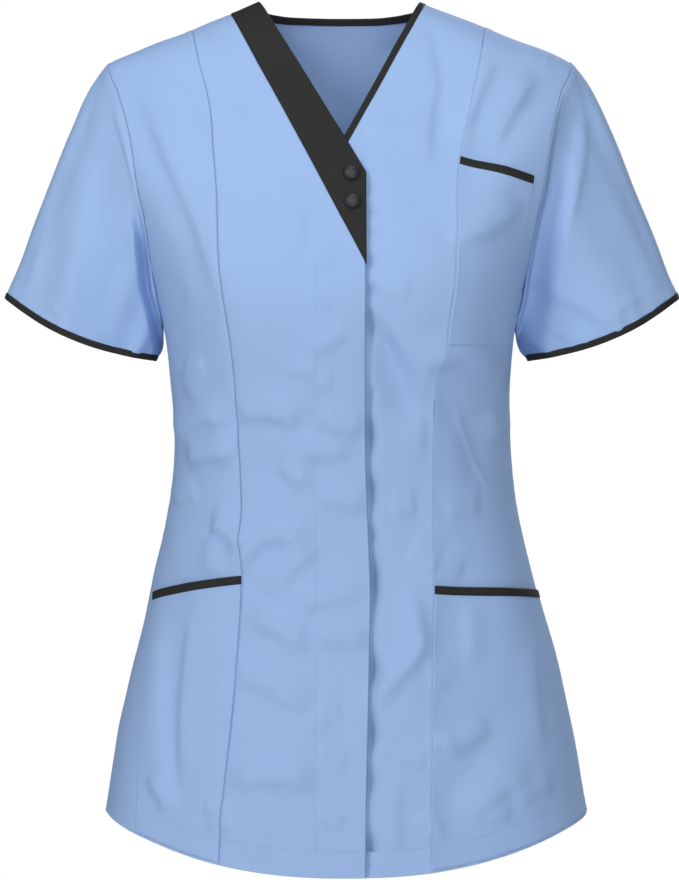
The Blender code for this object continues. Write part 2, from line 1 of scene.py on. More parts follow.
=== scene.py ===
"""V-neck scrub tunic: the cloth, stitching, bindings and buttons of the looks.

Metres, +Z up, the front faces -Y, and left is the wearer's left, at +X. Every panel is a patch of
one body form, which is read by an angle around the body (0 centre front, 90 left side, 180 centre
back) and a height, with folds, seams and puckers laid on it.
"""

import bpy
import numpy as np
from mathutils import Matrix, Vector


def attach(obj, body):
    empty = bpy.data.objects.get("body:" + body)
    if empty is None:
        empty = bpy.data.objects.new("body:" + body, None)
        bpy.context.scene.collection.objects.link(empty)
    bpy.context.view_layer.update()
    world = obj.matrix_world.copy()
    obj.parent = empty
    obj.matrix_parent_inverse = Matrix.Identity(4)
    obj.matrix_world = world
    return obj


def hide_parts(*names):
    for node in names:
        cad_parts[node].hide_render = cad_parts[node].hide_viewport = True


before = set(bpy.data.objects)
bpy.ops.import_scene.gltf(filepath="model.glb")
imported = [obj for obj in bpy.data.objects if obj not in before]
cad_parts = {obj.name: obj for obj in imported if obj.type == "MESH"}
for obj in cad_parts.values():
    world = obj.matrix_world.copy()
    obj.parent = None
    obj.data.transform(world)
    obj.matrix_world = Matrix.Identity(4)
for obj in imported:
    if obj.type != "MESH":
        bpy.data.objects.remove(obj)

bl_info = {
    "name": "Scrub Tunic",
    "version": (1, 0, 0),
    "blender": (4, 5, 0),
    "location": "View3D > Sidebar > Tunic",
    "description": "Builds the cloth, stitching and studio of a V-neck scrub tunic",
    "category": "Object",
}

# --- Body form
# height, half width, depth in front, depth behind, squareness, sway to the left
FORM = np.array([
    (-0.720, 0.2090, 0.141, 0.139, 2.30, 0.0040),
    (-0.645, 0.1955, 0.134, 0.133, 2.30, 0.0034),
    (-0.595, 0.1855, 0.127, 0.127, 2.30, 0.0028),
    (-0.545, 0.1747, 0.119, 0.118, 2.30, 0.0022),
    (-0.495, 0.1619, 0.111, 0.107, 2.30, 0.0016),
    (-0.446, 0.1494, 0.106, 0.096, 2.30, 0.0012),
    (-0.396, 0.1410, 0.107, 0.090, 2.30, 0.0006),
    (-0.354, 0.1386, 0.113, 0.091, 2.30, 0.0000),
    (-0.313, 0.1403, 0.123, 0.097, 2.35, -0.0008),
    (-0.280, 0.1436, 0.131, 0.104, 2.40, -0.0010),
    (-0.245, 0.1510, 0.134, 0.109, 2.50, -0.0010),
    (-0.216, 0.1606, 0.131, 0.111, 2.60, -0.0011),
    (-0.180, 0.1768, 0.121, 0.111, 2.60, -0.0012),
    (-0.157, 0.1892, 0.113, 0.109, 2.60, -0.0013),
    (-0.130, 0.1997, 0.102, 0.105, 2.60, -0.0014),
    (-0.105, 0.2056, 0.090, 0.099, 2.60, -0.0014),
    (-0.080, 0.2050, 0.078, 0.092, 2.60, -0.0015),
    (-0.050, 0.1895, 0.063, 0.081, 2.45, -0.0016),
    (-0.025, 0.1280, 0.052, 0.070, 2.30, -0.0018),
    (0.000, 0.0665, 0.045, 0.058, 2.20, -0.0020),
])

# --- Seam lines
# height, across
PRINCESS_RIGHT = np.array([
    (-0.700, -0.0980), (-0.657, -0.0954), (-0.621, -0.0915), (-0.570, -0.0860),
    (-0.530, -0.0830), (-0.483, -0.0803), (-0.443, -0.0804), (-0.391, -0.0821),
    (-0.331, -0.0842), (-0.291, -0.0864), (-0.239, -0.0918), (-0.191, -0.0976),
    (-0.129, -0.1032), (-0.091, -0.1072), (-0.055, -0.1164), (-0.022, -0.1240),
])
PRINCESS_LEFT = np.array([
    (-0.700, 0.0705), (-0.649, 0.0707), (-0.570, 0.0710), (-0.530, 0.0718),
    (-0.479, 0.0730), (-0.431, 0.0732), (-0.391, 0.0732), (-0.355, 0.0739),
    (-0.319, 0.0752), (-0.287, 0.0800), (-0.267, 0.0822), (-0.235, 0.0862),
    (-0.191, 0.0896), (-0.137, 0.0942), (-0.112, 0.0995), (-0.082, 0.1058),
    (-0.046, 0.1136), (-0.021, 0.1180),
])
# height, angle at the right, angle at the left
SIDE_SEAM = np.array([
    (-0.680, 55.0, 82.0), (-0.640, 58.0, 83.0), (-0.580, 63.0, 85.0), (-0.530, 69.0, 87.0),
    (-0.500, 75.0, 88.0), (-0.470, 84.0, 89.0), (-0.400, 90.0, 90.0), (-0.245, 90.0, 90.0),
])
# height, angle
BACK_LINE = np.array([
    (-0.700, 157.8), (-0.600, 155.2), (-0.500, 150.5), (-0.400, 144.6), (-0.354, 143.6),
    (-0.280, 146.2), (-0.245, 149.4), (-0.180, 155.0), (-0.130, 158.4), (-0.105, 158.9),
    (-0.080, 158.2), (-0.060, 154.5), (-0.045, 148.5), (-0.034, 138.0), (-0.0254, 124.0),
    (-0.0178, 114.0), (-0.0115, 105.0), (-0.0063, 97.0), (-0.0021, 90.0),
])

# The panels break at the princess seams: a valley on the right side and a ridge on the left.
# line, slope beside it
SEAM_BREAKS = ((PRINCESS_RIGHT, 0.17), (PRINCESS_LEFT, -0.22))
# how far they reach, and where they fade out towards the sides and the shoulders
BREAK_REACH, BREAK_TURN, BREAK_TOP = 0.018, (0.02, 0.06), (0.05, 0.12)

# --- Neckline, front edges and hem
NECK_LEFT, NECK_LEFT_SLOPE = 0.0645, 0.53
NECK_RIGHT, NECK_RIGHT_SLOPE = -0.0685, -0.588
BAND_OUTER, BAND_OUTER_SLOPE = -0.0977, -0.522
BAND_TIP, NECK_CORNER, BAND_OVERHANG = -0.2235, -0.147, 0.0008
OVERLAP_EDGE, UNDERLAP_EDGE = 0.0185, -0.0205
NECK_ASLANT, SHOULDER_FALL, BACK_NECK_DROP = 1.13, 0.385, 0.006
HEM_AT_SIDE, HEM_DROP, HEM_ROUND = -0.668, 0.041, 2.2
OVERLAP_LIFT, LIFT_STARTS, LIFT_ENDS = 0.0021, -0.070, -0.025
EDGE_SWAY = np.array([  # height, and how far the hanging edge swings out to the left there
    (-0.710, 0.0000), (-0.655, 0.0006), (-0.600, 0.0018), (-0.545, 0.0030), (-0.480, 0.0040),
    (-0.430, 0.0022), (-0.380, 0.0004), (-0.320, 0.0000), (-0.220, 0.0000),
])
PLACKET_DEPTH = 0.039  # from the right front's edge to its row of stitches
TRIM_HEIGHT = 0.0074
RIGHT_TRIM, LEFT_TRIM = (-0.4754, -0.4910), (-0.4834, -0.4902)  # at the princess and the side seam
RIGHT_EDGE_TRIM, LEFT_EDGE_TRIM, BACK_TRIM = -0.4754, -0.4834, -0.4903
CHEST_TRIM_AT_PRINCESS, CHEST_TRIM_AT_SIDE, CHEST_POCKET_LOW = -0.1379, -0.1565, -0.2860
POCKET_SLANT = 0.001  # the chest pocket's lower edge rises this much towards the side
PRINCESS_TOP_RIGHT, PRINCESS_TOP_LEFT, PLACKET_TOP = -0.0228, -0.0216, -0.0155  # heights
PLACKET_TOP_SHARE = 0.25  # of its depth, that the placket keeps at the shoulder

# --- Rows from the hem to the shoulder, and how finely they are cut
HEM, TRIM_LOW, TRIM_TOP, CHEST_LOW, UNDERARM, TIP, NECK_BEND, CHEST_TRIM, CHEST_TOP, SHOULDER = (
    0, 10, 11, 20, 22, 25, 27, 29, 30, 38)
EVEN, CLOSE_AT_START, CLOSE_AT_END = range(3)
FINE = 9
HEM_ROW_HEIGHT, HEM_ROWS = 0.0186, 2  # the lowest rows lie at fixed heights above the hem
POCKET_FOOT = 0.05  # the hip pockets start at this row
HEM_STITCHES = 0.020 / HEM_ROW_HEIGHT
CLOSE_ROWS = HEM_STITCHES + np.array([-0.10, -0.05, -0.022, 0.0, 0.022, 0.05, 0.10])
ROWS = np.unique(np.round(np.concatenate([
    np.arange(SHOULDER * FINE + 1) / FINE, CLOSE_ROWS, [0.02, POCKET_FOOT]]), 4))
NEAR_SEAM = np.array([0.0, 0.0004, 0.0009, 0.0015, 0.0023, 0.0035, 0.0052])
CENTRE_COLUMNS, LEFT_CENTRE_COLUMNS, PLACKET_COLUMNS, CONTRAST_COLUMNS = 42, 48, 18, 26
SIDE_COLUMNS, CHEST_POCKET_COLUMNS, BACK_SIDE_COLUMNS, BACK_COLUMNS = 50, 42, 30, 20
STITCHED_COLUMNS, POCKET_STITCHED_COLUMNS, NECK_STEPS = 40, 60, 128
WIDTH_STEPS, PLACKET_WIDTH_STEPS = 9, 33  # steps in which a width is measured
SEEN_STRAIGHT = 0.4  # rows over which a grid turns straight as seen from the front
POCKET_SHARE = 0.8  # how much of the left side panel's width the chest pocket takes

# --- Armhole and sleeve
SHOULDER_TIP, UNDERARM_LEVEL = -0.0498, -0.245
ARM_FRONT, ARM_BACK, ARM_FULL, ARM_HIGH = 40.0, 38.0, 0.87, 0.30
CUFF_CENTRE, CUFF_HALF_WIDTH, CUFF_HALF_DEPTH = (0.2169, -0.002, -0.2716), 0.0676, 0.0440
CUFF_TILT = np.radians(22.6)
CUFF_DROOP_FRONT, CUFF_DROOP_BACK = 0.010, 0.004
SLEEVE_RINGS = 72
SLEEVE_SPRING, SLEEVE_SPRING_TOP, SLEEVE_HANG, SLEEVE_LENGTH = 0.050, 0.030, 0.9, 0.2
LEAVES, LEAVES_TOP, LEAVES_LOW, LEAVES_DOWN = 0.55, 0.45, 0.30, 0.6  # how it leaves the armhole
# How far its unevenness and its creases take to grow from the seam and to die out at the cuff
SOFT_FROM_SEAM, SOFT_TO_CUFF, CREASES_FROM_SEAM, CREASES_TO_CUFF = 0.03, 0.02, 0.006, 0.012
# Its folds fade from this share of its length, and this share of its creases reaches the cuff
FOLDS_END, CREASES_AT_CUFF = 0.6, 0.25
NECK_TURN = 89  # degrees that the back's neckline takes to both sides of its middle

# --- Folds: soft troughs and ridges, laid between two points
FRONT, BACK = -1.0, 1.0
# face, first across and height, second across and height, half width, rise
FOLDS = np.array([
    (FRONT, -0.176, -0.080, -0.112, -0.190, 0.016, -0.0032),
    (FRONT, -0.150, -0.070, -0.100, -0.150, 0.014, 0.0020),
    (FRONT, 0.176, -0.070, 0.104, -0.140, 0.016, -0.0028),
    (FRONT, 0.150, -0.110, 0.100, -0.200, 0.016, 0.0018),
    (FRONT, 0.072, -0.020, 0.080, -0.140, 0.014, -0.0022),
    (FRONT, 0.022, -0.265, 0.054, -0.345, 0.014, -0.0028),
    (FRONT, 0.070, -0.470, 0.052, -0.585, 0.018, 0.0032),
    (FRONT, 0.084, -0.325, 0.120, -0.392, 0.014, -0.0030),
    (FRONT, -0.076, -0.345, -0.006, -0.356, 0.013, -0.0018),
    (FRONT, -0.074, -0.392, -0.010, -0.378, 0.013, -0.0020),
    (FRONT, -0.128, -0.490, -0.137, -0.650, 0.020, -0.0034),
    (FRONT, 0.130, -0.585, 0.076, -0.665, 0.016, -0.0028),
    (FRONT, -0.060, -0.520, -0.030, -0.660, 0.022, 0.0022),
    (BACK, 0.136, -0.135, 0.080, -0.235, 0.018, -0.0030),
    (BACK, -0.138, -0.125, -0.090, -0.220, 0.018, -0.0028),
    (BACK, -0.105, -0.340, -0.020, -0.362, 0.015, -0.0028),
    (BACK, 0.100, -0.355, 0.024, -0.386, 0.015, -0.0030),
    (BACK, 0.060, -0.440, 0.072, -0.690, 0.024, -0.0050),
    (BACK, -0.070, -0.430, -0.088, -0.690, 0.026, -0.0046),
    (BACK, -0.004, -0.480, 0.004, -0.700, 0.024, 0.0036),
    (BACK, 0.135, -0.470, 0.150, -0.670, 0.022, 0.0036),
    (BACK, -0.140, -0.480, -0.158, -0.670, 0.022, 0.0034),
])
# Creases, read from the photo: the cloth rises gently to a crest, and falls away sharply to
# the right of each line. Columns: steep width, gentle width and rise in mm, then the line. The
# front's lines are in pixels of the photo, across and down, the back's in mm, across and height.
FRONT_CREASES = (
    (3, 9, 1.5, ((238, 428), (252, 421), (268, 419), (284, 424), (304, 430))),
    (3, 8, 1.3, ((312, 421), (332, 431), (350, 434), (370, 431))),
    (2.6, 7, 1, ((294, 463), (312, 459), (332, 458), (350, 463))),
    (3.2, 8, 1.5, ((272, 468), (286, 477), (300, 485), (318, 480))),
    (3.4, 9, 1.2, ((312, 499), (336, 507), (352, 510), (372, 510))),
    (2.8, 9, 2.1, ((243, 580), (252, 560), (264, 546), (276, 542), (290, 543), (306, 552))),
    (3.4, 9, 1.5, ((268, 606), (282, 588), (298, 569), (318, 553), (326, 545))),
    (3.2, 9, 1.1, ((290, 618), (312, 609), (335, 603), (372, 598))),
    (3.2, 9, 1.8, ((240, 624), (262, 629), (280, 637), (296, 648), (316, 653))),
    (3.2, 8, 1.4, ((308, 640), (328, 643), (346, 645), (370, 651))),
    (3, 8, 1.4, ((232, 690), (248, 685), (266, 691), (284, 703), (310, 716))),
    (2.6, 7, 0.8, ((312, 714), (328, 719), (344, 718))),
    (2.6, 7, 0.9, ((312, 762), (330, 766), (348, 772))),
    (3, 9, 1.9, ((222, 789), (248, 787), (270, 784), (290, 785), (318, 794))),
    (2.4, 6, 0.8, ((284, 371), (300, 376), (320, 376))),
    (2.4, 6, 0.7, ((312, 392), (324, 387), (336, 386))),
    (3.6, 8, 0.9, ((272, 866), (270, 840), (274, 812), (284, 800))),
    (5, 12, 1, ((218, 108), (226, 124), (238, 138), (250, 146))),
    (4, 9, 0.8, ((304, 250), (302, 228), (306, 206))),
    (2.6, 6, 0.8, ((308, 356), (326, 350), (344, 338), (352, 330))),
    (2.2, 6, 0.6, ((312, 312), (324, 308), (336, 304))),
    (2, 5, 0.6, ((316, 258), (328, 252), (344, 250))),
    (2.2, 5, 0.6, ((306, 274), (322, 270), (336, 272))),
    (2.4, 6, 0.7, ((300, 736), (316, 730), (330, 732))),
    (2.4, 6, 0.8, ((316, 826), (330, 823), (344, 828))),
    (5.5, 13, 3.2, ((130, 80), (140, 105), (152, 132), (166, 164), (182, 200), (198, 232), (212,
     268), (224, 312), (230, 340))),
    (4, 9, 1, ((176, 262), (186, 285), (196, 318))),
    (2.2, 6, 1.3, ((176, 366), (183, 382), (191, 402))),
    (2.4, 6, 1.3, ((180, 368), (192, 371), (208, 370))),
    (3, 8, 1.8, ((172, 446), (190, 431), (206, 424), (224, 424), (234, 428))),
    (3.4, 9, 2.4, ((184, 468), (202, 463), (220, 460), (238, 464))),
    (3.2, 8, 2.2, ((206, 532), (220, 534), (230, 542), (242, 556))),
    (3.6, 8, 1.2, ((206, 532), (204, 552), (203, 580))),
    (3, 7, 1, ((172, 508), (184, 500), (200, 498))),
    (4.5, 10, 2.4, ((170, 826), (166, 780), (162, 720), (162, 660), (166, 604))),
    (4, 10, 2.6, ((190, 600), (184, 650), (178, 700), (176, 750), (180, 806))),
    (4, 9, 1.2, ((222, 800), (226, 740), (230, 680), (232, 620))),
    (2.4, 5, 1.3, ((146, 776), (150, 792), (158, 804), (160, 820))),
    (2, 4, 1.1, ((200, 812), (214, 814), (232, 819))),
    (2, 4, 1, ((208, 835), (220, 829), (236, 833))),
    (4.5, 10, 1.6, ((426, 470), (424, 430), (426, 390), (430, 350))),
    (3, 7, 1, ((388, 512), (402, 513), (420, 511))),
    (3, 7, 1.3, ((404, 556), (418, 562), (434, 577))),
    (8, 10, 5.6, ((374, 722), (384, 704), (398, 684), (413, 668), (424, 655), (427, 642), (423,
     624), (418, 602), (423, 578))),
    (4.5, 9, 1.3, ((402, 862), (399, 820), (402, 770))),
    (4.2, 12, 1.9, ((430, 176), (431, 140), (434, 112), (439, 84), (433, 50), (426, 16))),
    (5.5, 12, 1.2, ((366, 146), (384, 136), (404, 134), (422, 142))),
    (3, 7, 0.8, ((376, 300), (392, 296), (410, 300))),
    (2.6, 6, 0.9, ((392, 768), (410, 764), (428, 768))),
    (4, 9, 2, ((464, 142), (472, 122), (480, 100), (490, 76), (500, 56))),
    (4.5, 10, 2, ((492, 158), (504, 136), (516, 114), (530, 90), (544, 70))),
    (5, 14, 2.8, ((446, 252), (464, 244), (484, 236), (506, 222), (528, 204))),
    (3.6, 8, 1.8, ((420, 378), (440, 364), (458, 363), (480, 370), (500, 378))),
    (1.6, 4, 0.9, ((446, 390), (454, 408), (464, 432), (476, 460), (488, 484), (496, 500))),
    (3.6, 8, 1.2, ((484, 414), (492, 432), (500, 444))),
    (3.5, 8, 1, ((436, 560), (446, 574), (462, 582))),
    (3.5, 8, 1, ((446, 520), (464, 512), (486, 514))),
    (3.8, 9, 1.6, ((466, 598), (465, 628), (468, 668))),
    (3, 7, 1, ((442, 764), (460, 752), (478, 742), (500, 729))),
    (3.6, 9, 1.2, ((474, 832), (488, 812), (504, 797), (522, 784), (534, 764))),
    (3.4, 7, 0.8, ((430, 692), (444, 686), (462, 671))),
    (2.4, 5, 1.2, ((430, 752), (440, 749), (456, 750))),
    (3.4, 8, 0.9, ((514, 812), (534, 800), (560, 796))),
    (2, 4, 1.2, ((416, 830), (428, 824), (446, 830))),
    (2, 4, 1, ((422, 842), (434, 836), (448, 842))),
    (2.2, 5, 1, ((488, 826), (500, 822), (514, 820))),
    (4, 10, 1.4, ((548, 760), (540, 700), (536, 640))),
    (4, 9, 0.9, ((520, 56), (540, 58), (556, 64))),
)
BACK_CREASES = (
    (4, 10, 2.2, ((150, -112), (128, -150), (104, -196), (88, -236))),
    (3.2, 8, 1.6, ((166, -150), (142, -190), (122, -236))),
    (4, 10, 2.2, ((-88, -232), (-104, -190), (-128, -148), (-150, -110))),
    (3.2, 8, 1.6, ((-116, -240), (-138, -196), (-164, -152))),
    (3.4, 9, 1.4, ((30, -26), (56, -44), (88, -58))),
    (3.4, 9, 1.3, ((-92, -62), (-64, -46), (-40, -30))),
    (3.4, 10, 1.9, ((-124, -318), (-92, -330), (-60, -334), (-30, -330))),
    (3.2, 9, 1.8, ((-104, -350), (-66, -362), (-30, -372), (0, -374))),
    (3.4, 10, 1.9, ((26, -344), (56, -352), (88, -344), (116, -328))),
    (3.2, 9, 1.8, ((14, -400), (44, -394), (76, -382), (106, -370))),
    (3, 8, 1.3, ((-64, -402), (-36, -410), (-6, -414), (20, -412))),
    (3.2, 8, 1.4, ((44, -452), (68, -440), (96, -420))),
    (3.2, 8, 1.3, ((-118, -430), (-96, -444), (-72, -452))),
    (3, 8, 1.2, ((-30, -470), (0, -478), (28, -474))),
    (5, 11, 2.6, ((42, -700), (38, -620), (34, -560), (36, -500))),
    (5, 11, 2.4, ((-46, -700), (-44, -620), (-40, -560), (-36, -505))),
    (4.6, 10, 2.2, ((118, -680), (112, -600), (104, -540), (100, -495))),
    (4.6, 10, 2.2, ((-126, -680), (-120, -610), (-114, -560), (-110, -515))),
    (4, 9, 1.6, ((0, -690), (-4, -640), (0, -590), (4, -550))),
    (3.4, 8, 1.3, ((70, -560), (88, -572), (104, -590))),
    (3.4, 8, 1.3, ((-96, -590), (-78, -574), (-62, -566))),
    (2.2, 5, 1, ((30, -690), (46, -686), (62, -690))),
    (2.2, 5, 1, ((-74, -692), (-58, -686), (-44, -690))),
    (3.6, 9, 1.4, ((-40, -120), (-10, -112), (24, -114), (50, -122))),
    (3.6, 9, 1.2, ((-70, -168), (-40, -160), (-14, -164))),
    (3.6, 9, 1.2, ((18, -176), (44, -168), (72, -176))),
)
SLEEVE_FRONT_CREASES = (
    (2.2, 7, 1.4, ((110, 98), (117, 124), (128, 160), (142, 208))),
    (9, 14, 4.8, ((80, 336), (78, 300), (84, 250), (92, 200), (102, 150))),
    (5, 9, 1.6, ((28, 306), (38, 266), (48, 220), (58, 180))),
    (6, 9, 3.2, ((136, 214), (122, 250), (114, 290), (112, 332))),
    (3, 5, 0.7, ((80, 318), (88, 328), (98, 340))),
    (3, 5, 0.7, ((102, 326), (110, 338), (116, 350))),
    (3, 5, 0.7, ((130, 332), (134, 346), (136, 360))),
    (2, 4, 0.9, ((50, 306), (56, 314), (60, 324))),
    (4.5, 10, 1.6, ((572, 236), (580, 196), (588, 150), (588, 118), (584, 88))),
    (5, 11, 2, ((548, 284), (566, 300), (586, 313), (606, 328), (622, 340))),
    (3.4, 7, 1.2, ((550, 322), (562, 334), (574, 344), (586, 350))),
    (2.2, 5, 1.5, ((532, 328), (540, 344), (548, 356))),
    (3, 6, 1.1, ((612, 318), (626, 309), (644, 301))),
)
SLEEVE_BACK_CREASES = (
    (6, 10, 3, ((-216, -262), (-212, -210), (-202, -160), (-196, -110))),
    (5, 9, 2.4, ((-176, -186), (-184, -220), (-188, -256))),
    (6, 6, -6, ((-158, -172), (-160, -214), (-162, -262), (-162, -300))),
    (2.4, 5, 1.5, ((-210, -262), (-202, -272), (-194, -284))),
    (6, 10, 3, ((196, -110), (202, -160), (212, -210), (218, -264))),
    (5, 9, 2.4, ((188, -262), (184, -222), (176, -186))),
    (6, 6, -6, ((162, -300), (162, -262), (160, -214), (158, -172))),
    (2.4, 5, 1.5, ((196, -286), (204, -272), (214, -262))),
    (4.5, 9, 1.6, ((246, -252), (240, -210), (228, -170))),
    (4.5, 9, 1.6, ((-228, -168), (-240, -208), (-248, -250))),
)
# Faint creases are softer and higher than they look, because the photo's light is flatter.
# above and below this steep width, factors: steep width, gentle width, rise, a long crease's rise
SOFTENED = ((1.7, 3.7, 2.4, 1.7, 2.3, 3.1), (3.7, 6.5, 1.4, 1.2, 1.5, 1.5))
LONG_CREASE = 45  # pixels
BACK_SOFTENED = (1.5, 1.3, 1.9)  # the first three of these factors, for all the back's creases
CREASE_FADE, CREASE_MARGIN = 0.3, 0.004  # share of a line over which it fades, room around a line
BODY_TURN, SLEEVE_TURN = 0.04, 0.02  # creases fade this near to the turn from front to back
# Fullness over the bust: across, height, half width, half height, rise
FULLNESS = np.array([(-0.080, -0.232, 0.048, 0.070, 0.0085), (0.078, -0.232, 0.048, 0.070, 0.0085)])
# Dents in the left front where the right front's edge lies on it: height, half height, depth
EDGE_DENTS = (
    (-0.160, 0.006, 0.0024), (-0.181, 0.005, 0.0027), (-0.198, 0.005, 0.0021),
    (-0.222, 0.006, 0.0033), (-0.245, 0.006, 0.0033), (-0.273, 0.013, 0.0069),
    (-0.330, 0.008, 0.0033), (-0.361, 0.015, 0.0075), (-0.405, 0.014, 0.0069),
    (-0.440, 0.008, 0.0036), (-0.477, 0.020, 0.0087), (-0.546, 0.012, 0.0066),
    (-0.597, 0.014, 0.0069), (-0.634, 0.010, 0.0045), (-0.686, 0.010, 0.0051),
)
DENT_REACH = 0.0090
EDGE_TROUGH, TROUGH_REACH = 0.0030, 0.0055  # the left front lies this deep all along that edge
TROUGH_STARTS = (0.130, 0.150)  # below the shoulder
# A wide hollow runs out from the edge under the bust: depth, width at its top and at its foot,
# then where it widens and starts, below the shoulder, and the heights where it ends
HOLLOW, HOLLOW_TOP_WIDTH, HOLLOW_FOOT_WIDTH = 0.0062, 0.013, 0.037
HOLLOW_WIDENS, HOLLOW_STARTS, HOLLOW_ENDS = (0.265, 0.345), (0.262, 0.290), (-0.358, -0.335)
HOLLOW_FAR_SIDE = (-1.7, -1.0)  # in widths
# Sleeve folds. Turns: 0 outer side, 90 front, 180 underarm. From and to: 0 at the seam, 1 at the
# cuff. The bands at the cuff: turn, half width, rise
SLEEVE_BANDS = np.array([
    (48.0, 14.0, -0.0026), (84.0, 15.0, 0.0022), (120.0, 13.0, -0.0028),
    (222.0, 15.0, -0.0030), (262.0, 16.0, 0.0024), (305.0, 14.0, -0.0026),
])
# first turn, last turn, from, to, half width, rise
SLEEVE_FOLDS = np.array([
    (128.0, 92.0, 0.04, 0.66, 9.0, -0.0010), (74.0, 58.0, 0.30, 1.00, 9.0, -0.0008),
    (104.0, 100.0, 0.45, 1.00, 8.0, -0.0008), (34.0, 30.0, 0.20, 1.00, 9.0, -0.0010),
    (20.0, 34.0, 0.00, 0.40, 8.0, -0.0010), (132.0, 138.0, 0.60, 1.00, 7.0, 0.0010),
    (212.0, 246.0, 0.02, 0.62, 9.0, -0.0032), (234.0, 266.0, 0.04, 0.66, 8.0, -0.0022),
    (262.0, 288.0, 0.02, 0.50, 8.0, -0.0016), (288.0, 300.0, 0.30, 1.00, 8.0, -0.0018),
    (256.0, 262.0, 0.45, 1.00, 7.0, -0.0016), (326.0, 330.0, 0.20, 1.00, 9.0, -0.0014),
    (178.0, 184.0, 0.10, 0.80, 9.0, -0.0016),
])
# The underarm of a sleeve is drawn to the body: its middle turn, half width and strength, where
# that starts along the sleeve, the most it moves, and the share of each sleeve over which it ends
DRAWN_TURN, DRAWN_WIDTH, DRAWN_STRENGTH = 182, 60, 1.25
DRAWN_STARTS, MOST_DRAWN, DRAWN_ENDS = (0.01, 0.12), 0.030, {-1: 0.60, 1: 0.42}
LEFT_CLEARANCE = 0.0015  # what the left sleeve lies in from the plain form
# The front of a sleeve tucks in behind the edge of the body. side: depth, reach, and the heights
# between which the tuck opens
TUCKS = {-1: (0.013, 0.0125, -0.160, -0.215), 1: (0.017, 0.030, -0.070, -0.170)}
TUCK_NEAR, TUCK_FAR, TUCK_FACE = 0.0045, 0.005, (-0.030, -0.004)  # how softly it starts and ends
TUCK_AT_SEAM, TUCK_AT_CUFF, TUCK_LETS_GO = 0.03, 0.45, 0.9
# How a sleeve's fold starts and ends along it, and the lesser one of the other way beside it: its
# rise, distance and width, as shares of the fold's own
SLEEVE_FOLD_STARTS, SLEEVE_FOLD_ENDS, COUNTER_FOLD = (-0.12, 0.10), (-0.10, 0.12), (0.4, 2.0, 1.3)
FLUTES = ((5.0, 0.4, 0.0011), (8.0, 2.1, 0.0009), (11.0, 4.4, 0.0006))  # waves round, phase, rise
FLUTES_GROW = (0.46, 0.70)  # below the shoulder
FOLD_FADE, BUST_TURN = 0.25, 0.05  # share of a fold's length over which it fades, how the bust ends
# Slow unevenness of hanging cloth: how many waves, the shortest and how much longer the longest,
# how much they run across, up and down, and their slope
SOFTNESS_WAVES, SOFTNESS_SEED = 26, 7
SHORTEST_WAVE, LONGER_BY, WAVE_WAYS, WAVE_SLOPE = 0.032, 4.5, (1.0, 1.0, 0.55), 0.0021
FULL_TURN = 6.283

# --- Seams and edges
SEAM_DIP, SEAM_REACH = 0.0004, 0.0008
ALLOWANCE, ALLOWANCE_RISE, ALLOWANCE_FALL = 0.0085, 0.00032, 0.003
ROLL = 0.0011  # radius of a folded or bound edge
GROOVE, GROOVE_REACH = 0.00014, 0.0010
PUCKER, PUCKER_REACH = 0.00022, 0.0075
SHOULDER_PUCKERS, POCKET_PUCKERS, ARMHOLE_PUCKERS = 0.6, 0.5, 1.5
PLACKET_PUCKERS, PLACKET_PUCKER_REACH = 0.6, 0.006
CUFF_PUCKERS, CUFF_PUCKER_LENGTH, CUFF_PUCKER_REACH = 4.0, 0.6, 0.012
# The princess and side seams are quieter below the waist, and most of all on the left front
LOW_SEAMS, LOW_SEAM_HEIGHTS = 0.35, (-0.54, -0.42)
LEFT_FRONT_SEAMS, OTHER_SEAMS, LEFT_FRONT_FROM = 0.6, 0.9, 0.05
HEM_FOLD, HEM_TURNING = 0.00075, 0.020
TURNED_ROWS, FOLD_TURNS = (1.0, 0.82, 0.6, 0.4, 0.2, 0.08), (180, 150, 120, 90, 60, 30)
HEM_ROPING, ROPING_ACROSS, ROPING_UP, ROPING_FADES = 0.00028, 0.55, 0.4, (-1.5, -0.7)
BINDING_WIDTH, PROUD = 0.0055, 0.0003
ARMHOLE_GAP = 0.0001
CONTRAST_WALL, BINDING_WALL = 1.3, 0.00045  # in thicknesses of the cloth, and in metres
NECK_BINDING_WAVES, CUFF_BINDING_WAVES = 0.00008, 0.00010
POCKET_RISE, TRIM_RISE, POCKET_GAPE = 0.0011, 0.0016, 0.0016
POCKET_SIDES, CHEST_POCKET_START = (0.004, 0.992), 0.006  # shares of the side panel's width
SLACK_ACROSS, SLACK_UP = 1.5, 2.2  # how the slack gathers at the middle of the opening
BUTTONS = {"button_upper": (0.0074, -0.1506), "button_lower": (0.0084, -0.1732)}
BUTTON_RADIUS, BUTTON_SEAT = 0.0067, 0.0006
BUTTON_PROFILE = ((0.0, 0.0040), (0.20, 0.00395), (0.45, 0.0037), (0.68, 0.0031), (0.84, 0.0025),
                  (0.94, 0.0019), (0.985, 0.0014), (1.0, 0.0010), (0.985, 0.0006), (0.93, 0.0003),
                  (0.72, 0.0), (0.0, 0.0))
BUTTON_STEPS = 56
THREAD_SEAT = -0.00012  # how deep the thread lies in the cloth
EDGE_STITCH, ON_BINDING, ON_TRIM = 0.0011, 0.00066, 0.0002  # in from the edge, and lifts
NARROWEST_SEWN = 0.008  # the contrast panel has stitches where it is wider

